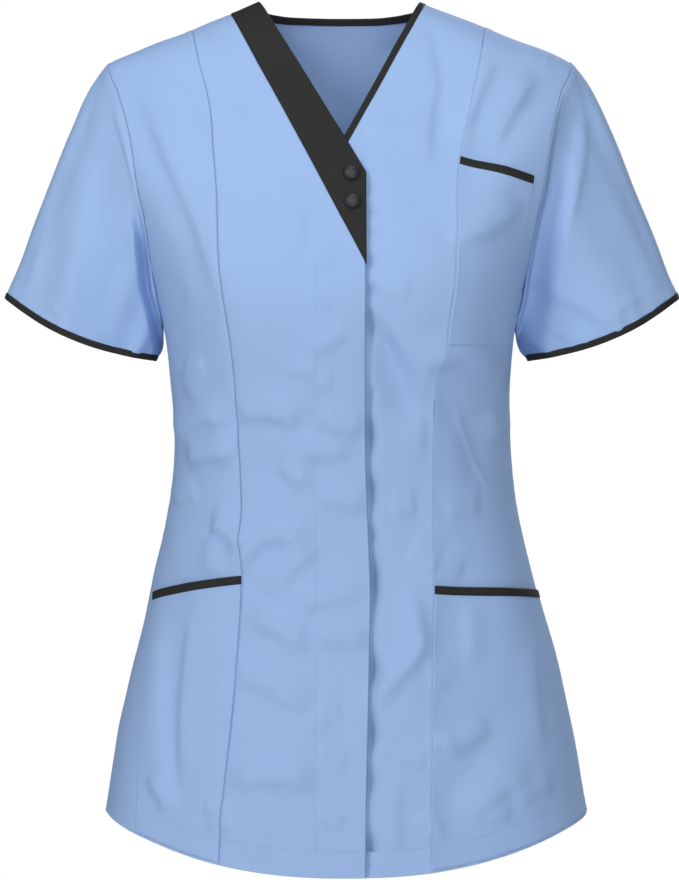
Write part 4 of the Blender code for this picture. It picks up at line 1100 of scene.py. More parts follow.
def cuff_edge(side, turn):
    """The sleeve's open end, the way it points, and the way out from it."""
    out = np.array([side * np.cos(CUFF_TILT), 0, np.sin(CUFF_TILT)])
    hang = np.array([side * np.sin(CUFF_TILT), 0, -np.cos(CUFF_TILT)])
    centre = np.array(CUFF_CENTRE) * (side, 1, 1)
    across = np.cos(turn)[:, None] * out * CUFF_HALF_WIDTH
    deep = np.sin(turn)[:, None] * np.array([0, -CUFF_HALF_DEPTH, 0])
    droop = np.where(np.sin(turn) > 0, CUFF_DROOP_FRONT, CUFF_DROOP_BACK) * np.sin(turn) ** 2
    radial = unit(across / CUFF_HALF_WIDTH**2 + deep / CUFF_HALF_DEPTH**2)
    degrees = np.degrees(turn) % 360
    bands = sum(rise * bell(degrees - at, width) for at, width, rise in SLEEVE_BANDS)
    bands = bands + sleeve_folds(turn[None, :], np.array([[1.0]]))[0]
    points = centre + across + deep + droop[:, None] * hang + bands[:, None] * radial
    return points, hang, radial


def sleeve_folds(turn, along):
    """Soft folds of a sleeve, which run from one turn to another over a stretch of its length."""
    degrees = np.degrees(turn) % 360
    moved = np.zeros(np.broadcast(degrees, along).shape)
    for turn_1, turn_2, start, end, half_width, rise in SLEEVE_FOLDS:
        share = np.clip((along - start) / (end - start), 0, 1)
        away = degrees - (turn_1 + (turn_2 - turn_1) * share)
        away = (away + 180) % 360 - 180
        fades = ramp(along - start, *SLEEVE_FOLD_STARTS)
        if end < 1:
            fades = fades * ramp(end - along, *SLEEVE_FOLD_ENDS)
        less, beside, wider = COUNTER_FOLD
        shape = bell(away, half_width)
        shape = shape - less * bell(away + beside * half_width, wider * half_width)
        moved = moved + sizes().folds * rise * fades * shape
    return moved


def armhole_loop(side, edges):
    """Angles, heights and turns of the armhole, over the top, down the front and up the back."""
    name = "right" if side < 0 else "left"
    low = row_at(UNDERARM)
    front, back = edges["outer_front_" + name][low:], edges["outer_back_" + name][low:]
    front = front[-2:0:-1]
    loop = np.vstack([back, front])
    turn = np.radians(np.concatenate([-armhole_turn(back[:, 1]), armhole_turn(front[:, 1])]))
    return (loop[::-1], turn[::-1]) if side < 0 else (loop, turn)


def sleeve_rings(loop, turn, end, hang):
    """Rings of points from the armhole's seam to the binding, and that seam."""
    seam, normal = surface(loop[:, 0], loop[:, 1]), form_normal(loop[:, 0], loop[:, 1])
    into_hole = np.cross(normal, unit(np.roll(seam, -1, 0) - np.roll(seam, 1, 0)))
    seam = seam + into_hole * ARMHOLE_GAP
    last = end - hang * (BINDING_WIDTH - UNDER_BINDING)
    high = np.cos(turn)[:, None]
    leaves = unit(into_hole * (LEAVES + np.where(high > 0, LEAVES_TOP, LEAVES_LOW) * high)
                  + unit(last - seam) * LEAVES_DOWN * (1 - np.abs(high))
                  + normal * np.maximum(-high, 0))
    start = leaves * (SLEEVE_SPRING + SLEEVE_SPRING_TOP * high)
    finish = hang * SLEEVE_HANG * np.linalg.norm(last - seam, axis=-1, keepdims=True)
    near = NEAR_SEAM / SLEEVE_LENGTH
    s = np.concatenate([near[:-1], np.linspace(near[-1], 1, SLEEVE_RINGS)])[:, None, None]
    rings = ((2 * s**3 - 3 * s**2 + 1) * seam + (s**3 - 2 * s**2 + s) * start
             + (3 * s**2 - 2 * s**3) * last + (s**3 - s**2) * finish)
    return rings, seam, s[..., 0]


def build_sleeve(side, edges):
    name = "right" if side < 0 else "left"
    loop, turn = armhole_loop(side, edges)
    end, hang, radial = cuff_edge(side, turn)
    rings, seam, share = sleeve_rings(loop, turn, end, hang)
    away, round_the_arm = lengths(rings, 0), lengths(rings, 1)
    left = away[-1:] - away
    lift = sleeve_folds(turn[None, :], share) * ramp(-share, -1.0, -FOLDS_END)
    lift = lift + softness(rings) * ramp(away, 0, SOFT_FROM_SEAM) * ramp(left, 0, SOFT_TO_CUFF)
    creases = sizes().folds * creased(rings, sleeve_creases(), SLEEVE_TURN)
    creases = creases * ramp(away, 0, CREASES_FROM_SEAM)
    lift = lift + creases * mixed(CREASES_AT_CUFF, 1.0, ramp(left, 0, CREASES_TO_CUFF))
    lift = lift + seamed(away, round_the_arm, ALLOWANCE_RISE, ARMHOLE_PUCKERS)
    waves = puckered(round_the_arm * CUFF_PUCKER_LENGTH, CUFF_PUCKERS)
    lift = lift + waves * np.exp(-left / CUFF_PUCKER_REACH)
    points = rings + grid_normals(rings, True) * lift[..., None]
    points = beside_body(points, seam, side, turn, share)
    add_cloth("sleeve_" + name, points, main_cloth(), bell(away, SEAM_REACH),
              wrapped=True)
    inset, lift = BINDING_SECTION[:, 0][:, None, None], BINDING_SECTION[:, 1][:, None, None]
    waves = CUFF_BINDING_WAVES * sizes().puckers * ripple(lengths(end[None], 1))[..., None]
    band = end - hang * inset + radial * (lift + waves)
    add_cloth("sleeve_binding_" + name, band, contrast_cloth(), wrapped=True,
              wall=BINDING_WALL)


def beside_body(points, seam, side, turn, share):
    """Draws the sleeve's underarm to the body, and tucks its front in behind the body's edge."""
    x, y, z = points[..., 0], points[..., 1], points[..., 2]
    half_width, front, back, square, shift = (smooth(FORM, k, z) for k in range(1, 6))
    depth = np.where(y < 0, front, back)
    body = half_width * np.maximum(1 - (np.abs(y) / depth) ** square, 0) ** (1 / square)
    body = body + side * shift - np.where(side > 0, LEFT_CLEARANCE, 0.0)
    degrees = np.degrees(turn)[None, :] % 360
    drawn = np.minimum(DRAWN_STRENGTH * bell(degrees - DRAWN_TURN, DRAWN_WIDTH), 1)
    drawn = drawn * ramp(share, *DRAWN_STARTS) * np.clip((1 - share) / DRAWN_ENDS[side], 0, 1)
    beside = np.minimum(np.abs(x), np.maximum(body, np.abs(x) - MOST_DRAWN))
    moved = points.copy()
    moved[..., 0] = side * (np.abs(x) + (beside - np.abs(x)) * drawn)
    in_front = seam[np.sin(turn) > 0.05]
    in_front = in_front[np.argsort(in_front[:, 2])]
    step = np.abs(in_front[0, 0]) - smooth(FORM, 1, in_front[:1, 2])[0]
    edge_x = np.where(z > in_front[0, 2], np.interp(z, in_front[:, 2], np.abs(in_front[:, 0])),
                      half_width + step)
    away = np.abs(moved[..., 0]) - edge_x
    deep, reach, closed, opened = TUCKS[side]
    moved[..., 1] += (deep * ramp(away, 0.0, TUCK_NEAR) * ramp(-away, -reach, -TUCK_FAR)
                      * ramp(-z, -closed, -opened) * ramp(-y, *TUCK_FACE)
                      * ramp(share, 0.0, TUCK_AT_SEAM)
                      * mixed(TUCK_AT_CUFF, 1.0, ramp(-share, -1.0, -TUCK_LETS_GO)))
    return moved


# --- Pockets
def pocket_edges(edges, name):
    """The two side edges of a pocket, just inside the seams that hold it."""
    seam, outer = edges["princess_" + name], edges["outer_front_" + name]
    first, last = (mixed(seam, outer, share) for share in POCKET_SIDES)
    return [last, first] if name == "right" else [first, last]


def chest_edges(edges):
    seam, outer = edges["princess_left"], edges["outer_front_left"]
    return [mixed(seam, outer, CHEST_POCKET_START), mixed(seam, outer, POCKET_SHARE)]


def laid_on_shape(grid, low, top, trim):
    """Grid and lift of a pocket (rows low to top) or of its trim, with a slack opening."""
    angles, heights = (g[row_at(low):row_at(top) + 1] for g in grid)
    across, up = runs(angles, heights)
    beside = np.minimum(across, across[:, -1:] - across)
    slack = np.maximum(np.sin(np.pi * across / across[:, -1:]), 0) ** SLACK_ACROSS
    if trim:
        lift = TRIM_RISE + POCKET_GAPE * slack
        lift = lift + rolled(np.minimum(up, up[-1:] - up))
    else:
        lift = POCKET_RISE + POCKET_GAPE * slack * (up / up[-1:]) ** SLACK_UP + rolled(up)
        for along, away in ((up, beside), (across, up)):
            lift = lift + puckered(along, POCKET_PUCKERS) * np.exp(-away / PUCKER_REACH)
    return angles, heights, lift + rolled(beside)


def build_pockets(edges):
    for name in ("right", "left"):
        grid = patch(pocket_edges(edges, name), [SIDE_COLUMNS], (True, True))
        build_pocket("hip_pocket_" + name, "hip_pocket_trim_" + name, grid, POCKET_FOOT,
                     (TRIM_LOW, TRIM_TOP))
    grid = patch(chest_edges(edges), [CHEST_POCKET_COLUMNS], (True, True),
                 straight_above=CHEST_LOW)
    build_pocket("chest_pocket", "chest_pocket_trim", grid, CHEST_LOW, (CHEST_TRIM, CHEST_TOP))


def build_pocket(node, trim_node, grid, low, trim_rows):
    """A pocket, which reaches half a row in under its trim, and the trim."""
    angles, heights, lift = laid_on_shape(grid, low, trim_rows[0] + 0.5, False)
    add_cloth(node, surface(angles, heights, lift), main_cloth())
    angles, heights, lift = laid_on_shape(grid, *trim_rows, True)
    add_cloth(trim_node, surface(angles, heights, lift), contrast_cloth())


# --- Buttons
def build_button(node, across, height):
    """A domed button: a turned profile, made a mesh in its place on the cloth."""
    mesh = bpy.data.meshes.new(node + "_profile")
    mesh.from_pydata([(share * BUTTON_RADIUS, 0, rise) for share, rise in BUTTON_PROFILE],
                     [(i, i + 1) for i in range(len(BUTTON_PROFILE) - 1)], [])
    turned = tunic_object(node + "_profile", mesh)
    screw = turned.modifiers.new("turned profile", "SCREW")
    screw.steps = screw.render_steps = BUTTON_STEPS
    screw.use_merge_vertices = True
    screw.merge_threshold = 0.00001
    screw.use_smooth_shade = True
    angle, height = angle_at(np.array([across]), np.array([height])), np.array([height])
    lift = overlap_lift(angle, height) + PROUD + BUTTON_SEAT
    facing = Vector(form_normal(angle, height)[0]).to_track_quat("Z", "Y").to_matrix().to_4x4()
    facing.translation = surface(angle, height, lift)[0]
    solid = plain_mesh(turned, node + "_dome")
    solid.transform(facing)
    button = tunic_object(node + "_dome", solid)
    solid.materials.append(button_finish())
    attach(button, "root")
    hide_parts(node)


def plain_mesh(source, name):
    """The evaluated object as a plain mesh. The source goes."""
    bpy.context.view_layer.update()
    graph = bpy.context.evaluated_depsgraph_get()
    mesh = bpy.data.meshes.new_from_object(source.evaluated_get(graph))
    mesh.name = name
    old = source.data
    bpy.data.objects.remove(source)
    bpy.data.meshes.remove(old)
    return mesh


# --- Stitching
# name: kind, settings, input values
STITCH_NODES = {
    "given": ("NodeGroupInput", {}, {}),
    "made": ("NodeGroupOutput", {}, {}),
    "curve": ("GeometryNodeMeshToCurve", {}, {}),
    "spaced": ("GeometryNodeResampleCurve", {"mode": "LENGTH"}, {}),
    "tangent": ("GeometryNodeInputTangent", {}, {}),
    "turn": ("FunctionNodeAlignRotationToVector", {"axis": "Z"}, {}),
    "bead": ("GeometryNodeMeshUVSphere", {}, {"Segments": 6, "Rings": 5, "Radius": 1.0}),
    "place": ("GeometryNodeInstanceOnPoints", {}, {}),
    "half_gap": ("ShaderNodeMath", {"operation": "MULTIPLY"}, {1: 0.5}),
    "kept": ("ShaderNodeMath", {"operation": "SUBTRACT"}, {0: 0.5}),
    "half_stitch": ("ShaderNodeMath", {"operation": "MULTIPLY"}, {}),
    "size": ("ShaderNodeCombineXYZ", {}, {}),
    "real": ("GeometryNodeRealizeInstances", {}, {}),
    "smoothed": ("GeometryNodeSetShadeSmooth", {}, {}),
    "paint": ("GeometryNodeSetMaterial", {}, {}),
}
# from node, its output, to node, its input
STITCH_LINKS = (
    ("given", "Geometry", "curve", "Mesh"), ("curve", "Curve", "spaced", "Curve"),
    ("given", "Stitch Length", "spaced", "Length"), ("tangent", "Tangent", "turn", "Vector"),
    ("given", "Gap Share", "half_gap", 0), ("half_gap", 0, "kept", 1),
    ("given", "Stitch Length", "half_stitch", 0), ("kept", 0, "half_stitch", 1),
    ("given", "Thread Radius", "size", "X"), ("given", "Thread Radius", "size", "Y"),
    ("half_stitch", 0, "size", "Z"), ("spaced", "Curve", "place", "Points"),
    ("bead", "Mesh", "place", "Instance"), ("turn", "Rotation", "place", "Rotation"),
    ("size", "Vector", "place", "Scale"), ("place", "Instances", "real", "Geometry"),
    ("real", "Geometry", "smoothed", "Geometry"), ("smoothed", "Geometry", "paint", "Geometry"),
    ("given", "Thread", "paint", "Material"), ("paint", "Geometry", "made", "Geometry"),
)


def stitch_tree():
    """Geometry nodes: lays a row of stitches along a line of edges."""
    tree = bpy.data.node_groups.get("row_of_stitches")
    if tree:
        return tree
    tree = bpy.data.node_groups.new("row_of_stitches", "GeometryNodeTree")
    face = tree.interface
    face.new_socket("Geometry", in_out="INPUT", socket_type="NodeSocketGeometry")
    for name, value in (("Stitch Length", 0.0026), ("Thread Radius", 0.00026), ("Gap Share", 0.22)):
        made = face.new_socket(name, in_out="INPUT", socket_type="NodeSocketFloat")
        made.default_value = value
    face.new_socket("Thread", in_out="INPUT", socket_type="NodeSocketMaterial")
    face.new_socket("Geometry", in_out="OUTPUT", socket_type="NodeSocketGeometry")
    nodes = {}
    for name, (kind, settings, values) in STITCH_NODES.items():
        nodes[name] = tree.nodes.new(kind)
        for setting, value in settings.items():
            setattr(nodes[name], setting, value)
        for socket, value in values.items():
            nodes[name].inputs[socket].default_value = value
    for first, output, second, socket in STITCH_LINKS:
        tree.links.new(nodes[first].outputs[output], nodes[second].inputs[socket])
    return tree


def socket_of(tree, name):
    return next(s.identifier for s in tree.interface.items_tree
                if s.item_type == "SOCKET" and s.in_out == "INPUT" and s.name == name)


def sew(name, lines, thread):
    """Rows of stitches along several lines of points."""
    points, links = [], []
    for line in lines:
        first = len(points)
        points += line.tolist()
        links += [(first + i, first + i + 1) for i in range(len(line) - 1)]
    mesh = bpy.data.meshes.new(name + "_lines")
    mesh.from_pydata(points, links, [])
    rows = tunic_object(name + "_lines", mesh)
    tree = stitch_tree()
    stitches = rows.modifiers.new("stitches", "NODES")
    stitches.node_group = tree
    stitches[socket_of(tree, "Stitch Length")] = sizes().stitch
    stitches[socket_of(tree, "Thread Radius")] = sizes().thread
    stitches[socket_of(tree, "Thread")] = thread
    piece = tunic_object(name, plain_mesh(rows, name))
    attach(piece, "root")


def hem_lines(edges):
    """The hem's row of stitches, on the pockets where they lie over it."""
    found = []
    blocks = (
        (["princess_right", "placket", "front_right"], (EVEN, EVEN), "right"),
        (["neck_left", "princess_left"], (EVEN,), "left"),
        (["outer_back_left", "back_left", "back_middle", "back_right", "outer_back_right"],
         (EVEN, CLOSE_AT_END, CLOSE_AT_START, EVEN), "back"))
    for names, bends, which in blocks:
        grid = patch([edges[n] for n in names], [STITCHED_COLUMNS] * (len(names) - 1),
                     [False] * len(names), bends)
        angles, heights = (g[row_at(HEM_STITCHES)][None] for g in grid)
        lift = np.full(angles.shape, THREAD_SEAT)
        if which == "right":
            lift = lift + overlap_lift(angles, heights)
        elif which == "left":
            keep = plain_form(angles, heights)[..., 0] > OVERLAP_EDGE + 0.001
            angles, heights = angles[keep][None], heights[keep][None]
            lift = THREAD_SEAT + edge_dents(angles, heights)
        found.append(surface(angles, heights, lift)[0])
    for name in ("right", "left"):
        grid = patch(pocket_edges(edges, name), [POCKET_STITCHED_COLUMNS], (False, False))
        angles, heights, lift = laid_on_shape(grid, POCKET_FOOT, TRIM_LOW, False)
        row = row_at(HEM_STITCHES) - row_at(POCKET_FOOT)
        line = slice(row, row + 1), slice(1, -1)
        found.append(surface(angles[line], heights[line], lift[line] + THREAD_SEAT + GROOVE)[0])
    return found


def placket_stitches(edges):
    rows = slice(row_at(HEM_STITCHES) + 1, row_at(TIP) - 2)
    angles, heights = edges["placket"][rows, 0][None], edges["placket"][rows, 1][None]
    return [surface(angles, heights, overlap_lift(angles, heights) + THREAD_SEAT)[0]]


def chest_pocket_stitches(edges):
    """Up the free side, and along the bottom, of the chest pocket."""
    grid = patch(chest_edges(edges), [POCKET_STITCHED_COLUMNS], (True, True))
    angles, heights, lift = laid_on_shape(grid, CHEST_LOW, CHEST_TRIM, False)
    points = surface(angles, heights, lift + THREAD_SEAT + GROOVE)
    column, row = -len(NEAR_SEAM) + 3, 3
    return [np.vstack([points[row, 2:column], points[row:, column]])]


def dark_lines(edges):
    """Edge stitching of the bindings, the trims and the contrast panel, short of their ends."""
    inset = BINDING_WIDTH - EDGE_STITCH
    line = neck_edge(inset)[6:-2]
    found = [surface(line[None, :, 0], line[None, :, 1], ON_BINDING)[0]]
    for side in (-1, 1):
        _, turn = armhole_loop(side, edges)
        end, hang, radial = cuff_edge(side, turn)
        ring = end - hang * inset + radial * ON_BINDING
        found.append(np.vstack([ring, ring[:1]]))
    angles, heights, lift, _ = contrast_grid(edges)
    points = surface(angles, heights, lift + ON_TRIM)
    wide = lengths(points, 1)[:, -1] > NARROWEST_SEWN
    for column in (len(NEAR_SEAM) - 3, -len(NEAR_SEAM) + 2):
        found.append(points[wide, column][:-2])
    for name in ("right", "left"):
        grid = patch(pocket_edges(edges, name), [POCKET_STITCHED_COLUMNS], (True, True))
        middle = slice(1, 2), slice(3, -3)
        angles, heights, lift = (g[middle] for g in laid_on_shape(grid, TRIM_LOW, TRIM_TOP, True))
        found.append(surface(angles, heights, lift + ON_TRIM)[0])
    return found


# --- Finishes: shader groups
# Twill: scale and strength of the threads' wander, then the shares of warp, weft and twill line
WANDER_SCALE, WANDER, WARP_SHARE, WEFT_SHARE, LINE_SHARE = 420.0, 9.0, 0.3, 0.25, 0.45
# slub of the threads, and the strength of the painted shade between them
SLUB, BETWEEN_SHADE = 0.3, 0.16
# Noises of the washed tone: scale, detail, roughness
BROAD_NOISE, FINE_NOISE, SPECK_NOISE = (9.0, 3.0, 0.5), (260.0, 4.0, 0.65), (1400.0, 2.0, 0.5)
SPECULAR, SHEEN_ROUGHNESS, BUMP_STRENGTH, RUBBED_HEIGHT, ROUGH_SPAN = 0.12, 0.45, 0.45, 1.5, 0.06


def shader_group(name, inputs, outputs):
    """A shader node group with named sockets: its tree, its inputs and its outputs."""
    tree = bpy.data.node_groups.new(name, "ShaderNodeTree")
    kinds = {float: "NodeSocketFloat", tuple: "NodeSocketColor", str: "NodeSocketVector"}
    for label, value in inputs.items():
        made = tree.interface.new_socket(label, in_out="INPUT", socket_type=kinds[type(value)])
        if not isinstance(value, str):
            made.default_value = value
    for label, kind in outputs.items():
        tree.interface.new_socket(label, in_out="OUTPUT", socket_type=kind)
    return tree, tree.nodes.new("NodeGroupInput").outputs, tree.nodes.new("NodeGroupOutput").inputs


def feed(tree, socket, value):
    """Gives a socket a value, or links another node's output to it."""
    if isinstance(value, (int, float, tuple)):
        socket.default_value = value
    else:
        tree.links.new(value, socket)


def math_node(tree, operation, *values):
    made = tree.nodes.new("ShaderNodeMath")
    made.operation = operation
    for socket, value in zip(made.inputs, values):
        feed(tree, socket, value)
    return made.outputs[0]


def noise_node(tree, place, scale, detail=2.0, rough=0.5):
    made = tree.nodes.new("ShaderNodeTexNoise")
    made.inputs["Scale"].default_value = scale
    made.inputs["Detail"].default_value = detail
    made.inputs["Roughness"].default_value = rough
    tree.links.new(place, made.inputs["Vector"])
    return made.outputs["Fac"]


def mixed_colour(tree, share, first, second):
    made = tree.nodes.new("ShaderNodeMix")
    made.data_type = "RGBA"
    for k, value in ((0, share), (6, first), (7, second)):
        feed(tree, made.inputs[k], value)
    return made.outputs[2]


def blend(tree, first, first_share, second, second_share):
    """The sum of two values, each by its share."""
    return math_node(tree, "ADD", math_node(tree, "MULTIPLY", first, first_share),
                     math_node(tree, "MULTIPLY", second, second_share))


def twill_group():
    """Threads of a fine twill: height, and a mask of the shade between the threads."""
    name = "fine_twill"
    if name in bpy.data.node_groups:
        return bpy.data.node_groups[name]
    tree, given, made = shader_group(
        name, {"Flat Cloth": "vector", "Thread Pitch": 0.0004, "Slub": SLUB},
        {"Height": "NodeSocketFloat", "Between Threads": "NodeSocketFloat"})
    split = tree.nodes.new("ShaderNodeSeparateXYZ")
    tree.links.new(given["Flat Cloth"], split.inputs[0])
    turns = math_node(tree, "DIVIDE", 2 * np.pi, given["Thread Pitch"])
    across = math_node(tree, "MULTIPLY", split.outputs["X"], turns)
    up = math_node(tree, "MULTIPLY", split.outputs["Y"], turns)
    wander = math_node(tree, "MULTIPLY", noise_node(tree, given["Flat Cloth"], WANDER_SCALE),
                       given["Slub"])
    wander = math_node(tree, "MULTIPLY", wander, WANDER)
    warp = math_node(tree, "SINE", math_node(tree, "ADD", across, wander))
    weft = math_node(tree, "SINE", math_node(tree, "ADD", up, wander))
    aslant = math_node(tree, "MULTIPLY", math_node(tree, "ADD", across, up), 0.5)
    line = math_node(tree, "SINE", math_node(tree, "ADD", aslant, wander))
    threads = math_node(tree, "ADD", blend(tree, warp, WARP_SHARE, weft, WEFT_SHARE),
                        math_node(tree, "MULTIPLY", line, LINE_SHARE))
    height = math_node(tree, "MULTIPLY", math_node(tree, "ADD", threads, 1.0), 0.5)
    tree.links.new(height, made["Height"])
    between = math_node(tree, "SUBTRACT", 1.0, height)
    tree.links.new(math_node(tree, "POWER", between, 2.0), made["Between Threads"])
    return tree


def tone_and_seam_shade_group():
    """Tone of washed cloth: broad unevenness, fine heather, and painted shade along the seams."""
    name = "washed_tone"
    if name in bpy.data.node_groups:
        return bpy.data.node_groups[name]
    tree, given, made = shader_group(
        name, {"Place": "vector", "Seam": 0.0, "Dyed": (0.3, 0.5, 0.8, 1.0),
               "Worn": (0.4, 0.6, 0.9, 1.0), "Shade": (0.2, 0.3, 0.6, 1.0), "Unevenness": 0.3,
               "Seam Shade": 0.4},
        {"Colour": "NodeSocketColor", "Rubbed": "NodeSocketFloat"})
    broad, fine, specks = (noise_node(tree, given["Place"], *noise)
                           for noise in (BROAD_NOISE, FINE_NOISE, SPECK_NOISE))
    uneven = math_node(tree, "MULTIPLY", blend(tree, broad, 0.55, fine, 0.45),
                       given["Unevenness"])
    colour = mixed_colour(tree, uneven, given["Dyed"], given["Worn"])
    heather = math_node(tree, "MULTIPLY", math_node(tree, "SUBTRACT", specks, 0.5), 0.5)
    heather = math_node(tree, "MAXIMUM", heather, 0.0)
    colour = mixed_colour(tree, heather, colour, given["Shade"])
    # painted shade: the colour darkens towards the shade colour along the seams' dips
    seam = math_node(tree, "MULTIPLY", given["Seam"], given["Seam Shade"])
    colour = mixed_colour(tree, seam, colour, given["Shade"])
    tree.links.new(colour, made["Colour"])
    tree.links.new(blend(tree, fine, 0.6, broad, 0.4), made["Rubbed"])
    return tree


def new_material(name):
    material = bpy.data.materials.new(name)
    material.use_nodes = True
    tree = material.node_tree
    tree.nodes.clear()
    shader = tree.nodes.new("ShaderNodeBsdfPrincipled")
    output = tree.nodes.new("ShaderNodeOutputMaterial")
    tree.links.new(shader.outputs[0], output.inputs["Surface"])
    return material, tree, shader


def place_group(tree, group, values):
    made = tree.nodes.new("ShaderNodeGroup")
    made.node_tree = group
    for label, value in values.items():
        feed(tree, made.inputs[label], value)
    return made.outputs


def span(tree, value, low, high):
    """Takes a value from 0..1 to low..high."""
    made = tree.nodes.new("ShaderNodeMapRange")
    made.inputs["To Min"].default_value, made.inputs["To Max"].default_value = low, high
    tree.links.new(value, made.inputs["Value"])
    return made.outputs["Result"]


def add_relief(tree, shader, height, strength, distance):
    """Makes the shader's surface follow a height."""
    bump = tree.nodes.new("ShaderNodeBump")
    bump.inputs["Strength"].default_value = strength
    bump.inputs["Distance"].default_value = distance
    tree.links.new(height, bump.inputs["Height"])
    tree.links.new(bump.outputs["Normal"], shader.inputs["Normal"])


def cloth_material(name, dyed, worn, shade, rough, sheen, pitch, depth, unevenness, seam_shade):
    """Woven cloth: washed tone, raised twill threads, painted shade between them and at seams."""
    if name in bpy.data.materials:
        return bpy.data.materials[name]
    material, tree, shader = new_material(name)
    place, flat = tree.nodes.new("ShaderNodeTexCoord"), tree.nodes.new("ShaderNodeUVMap")
    flat.uv_map = "flat_cloth"
    seam = tree.nodes.new("ShaderNodeAttribute")
    seam.attribute_name = "seam"
    tone = place_group(tree, tone_and_seam_shade_group(), {
        "Place": place.outputs["Object"], "Seam": seam.outputs["Fac"], "Dyed": dyed, "Worn": worn,
        "Shade": shade, "Unevenness": unevenness, "Seam Shade": seam_shade})
    weave = place_group(tree, twill_group(), {
        "Flat Cloth": flat.outputs["UV"], "Thread Pitch": pitch, "Slub": SLUB})
    # painted shade: the colour darkens towards the shade colour between the threads
    between = math_node(tree, "MULTIPLY", weave["Between Threads"], BETWEEN_SHADE)
    colour = mixed_colour(tree, between, tone["Colour"], shade)
    tree.links.new(colour, shader.inputs["Base Color"])
    tree.links.new(span(tree, tone["Rubbed"], rough - ROUGH_SPAN, rough + ROUGH_SPAN),
                   shader.inputs["Roughness"])
    shader.inputs["Specular IOR Level"].default_value = SPECULAR
    shader.inputs["Sheen Weight"].default_value = sheen
    shader.inputs["Sheen Roughness"].default_value = SHEEN_ROUGHNESS
    shader.inputs["Sheen Tint"].default_value = worn
    rubbed = math_node(tree, "MULTIPLY", tone["Rubbed"], RUBBED_HEIGHT)
    height = math_node(tree, "ADD", weave["Height"], rubbed)
    add_relief(tree, shader, height, BUMP_STRENGTH, depth)
    return material


def lighter(colour, by):
    return tuple(min(c * by, 1.0) for c in tuple(colour)[:3]) + (1.0,)


def main_cloth():
    dyed = tuple(sizes().main_colour) + (1.0,)
    return cloth_material(
        "sky_blue_poplin", dyed, worn=lighter(dyed, 1.10), shade=lighter(dyed, 0.45), rough=0.86,
        sheen=0.0, pitch=0.00042, depth=0.00008, unevenness=0.45, seam_shade=0.30)


def contrast_cloth():
    dyed = tuple(sizes().contrast_colour) + (1.0,)
    return cloth_material(
        "black_poplin", dyed, worn=lighter(dyed, 1.7), shade=lighter(dyed, 0.35), rough=0.76,
        sheen=0.10, pitch=0.00042, depth=0.00008, unevenness=0.5, seam_shade=0.5)


def thread_material(name, colour):
    """Twisted sewing thread: a faint two-ply line of shade, and a soft shine."""
    if name in bpy.data.materials:
        return bpy.data.materials[name]
    material, tree, shader = new_material(name)
    place = tree.nodes.new("ShaderNodeTexCoord").outputs["Object"]
    twist = tree.nodes.new("ShaderNodeTexWave")
    twist.inputs["Scale"].default_value = 900.0
    twist.inputs["Distortion"].default_value = 3.0
    tree.links.new(place, twist.inputs["Vector"])
    share = math_node(tree, "MULTIPLY", twist.outputs["Fac"], 0.35)
    tree.links.new(mixed_colour(tree, share, colour, lighter(colour, 0.55)),
                   shader.inputs["Base Color"])
    tree.links.new(span(tree, noise_node(tree, place, 600.0), 0.50, 0.68),
                   shader.inputs["Roughness"])
    return material


def button_finish():
    """A black covered button: faint clouds of tone, a satin shine and a very fine grain."""
    name = "black_button"
    if name in bpy.data.materials:
        return bpy.data.materials[name]
    material, tree, shader = new_material(name)
    place = tree.nodes.new("ShaderNodeTexCoord").outputs["Object"]
    clouds, grain = noise_node(tree, place, 190.0, 4.0), noise_node(tree, place, 2600.0)
    dark = tuple(sizes().button_colour) + (1.0,)
    share = math_node(tree, "MULTIPLY", clouds, 0.5)
    tree.links.new(mixed_colour(tree, share, dark, lighter(dark, 1.8)),
                   shader.inputs["Base Color"])
    tree.links.new(span(tree, clouds, 0.42, 0.58), shader.inputs["Roughness"])
    add_relief(tree, shader, grain, strength=0.25, distance=0.00003)
    return material


# --- Settings
class TunicSizes(bpy.types.PropertyGroup):
    """What can be changed on the tunic."""

    cloth: bpy.props.FloatProperty(
        name="Cloth", description="Thickness of the cloth", default=0.0006, min=0.0003, max=0.0015,
        precision=5, unit="LENGTH")
    folds: bpy.props.FloatProperty(
        name="Creases", description="How strongly the small creases show", default=1.0, min=0.0,
        max=2.0, subtype="FACTOR")
    puckers: bpy.props.FloatProperty(
        name="Puckers", description="How much the seams pucker", default=1.0, min=0.0, max=2.0,
        subtype="FACTOR")
    stitch: bpy.props.FloatProperty(
        name="Stitch", description="Length of one stitch", default=0.0026, min=0.0015, max=0.005,
        precision=5, unit="LENGTH")
    thread: bpy.props.FloatProperty(
        name="Thread", description="Radius of the sewing thread", default=0.00022, min=0.0001,
        max=0.0005, precision=5, unit="LENGTH")
    main_colour: bpy.props.FloatVectorProperty(
        name="Main cloth", description="Colour of the main cloth", default=(0.321, 0.473, 0.766),
        min=0.0, max=1.0, subtype="COLOR")
    contrast_colour: bpy.props.FloatVectorProperty(
        name="Contrast cloth", description="Colour of the bindings, trims and neck panel",
        default=(0.022, 0.0225, 0.022), min=0.0, max=1.0, subtype="COLOR")
    button_colour: bpy.props.FloatVectorProperty(
        name="Buttons", description="Colour of the buttons", default=(0.010, 0.011, 0.014), min=0.0,
        max=1.0, subtype="COLOR")


def sizes():
    return bpy.context.scene.tunic_sizes


# --- Operators
class TUNIC_OT_front(bpy.types.Operator):
    """Build the four front panels"""

    bl_idname = "tunic.front"
    bl_label = "Front panels"

    def execute(self, context):
        edges = all_edges()
        build_front_centres(edges)
        build_front_sides(edges)
        return {"FINISHED"}


class TUNIC_OT_back(bpy.types.Operator):
    """Build the back panel"""

    bl_idname = "tunic.back"
    bl_label = "Back panel"

    def execute(self, context):
        build_back(all_edges())
        return {"FINISHED"}


class TUNIC_OT_sleeves(bpy.types.Operator):
    """Build both sleeves with their bound cuffs"""

    bl_idname = "tunic.sleeves"
    bl_label = "Sleeves"

    def execute(self, context):
        edges = all_edges()
        for side in (-1, 1):
            build_sleeve(side, edges)
        return {"FINISHED"}


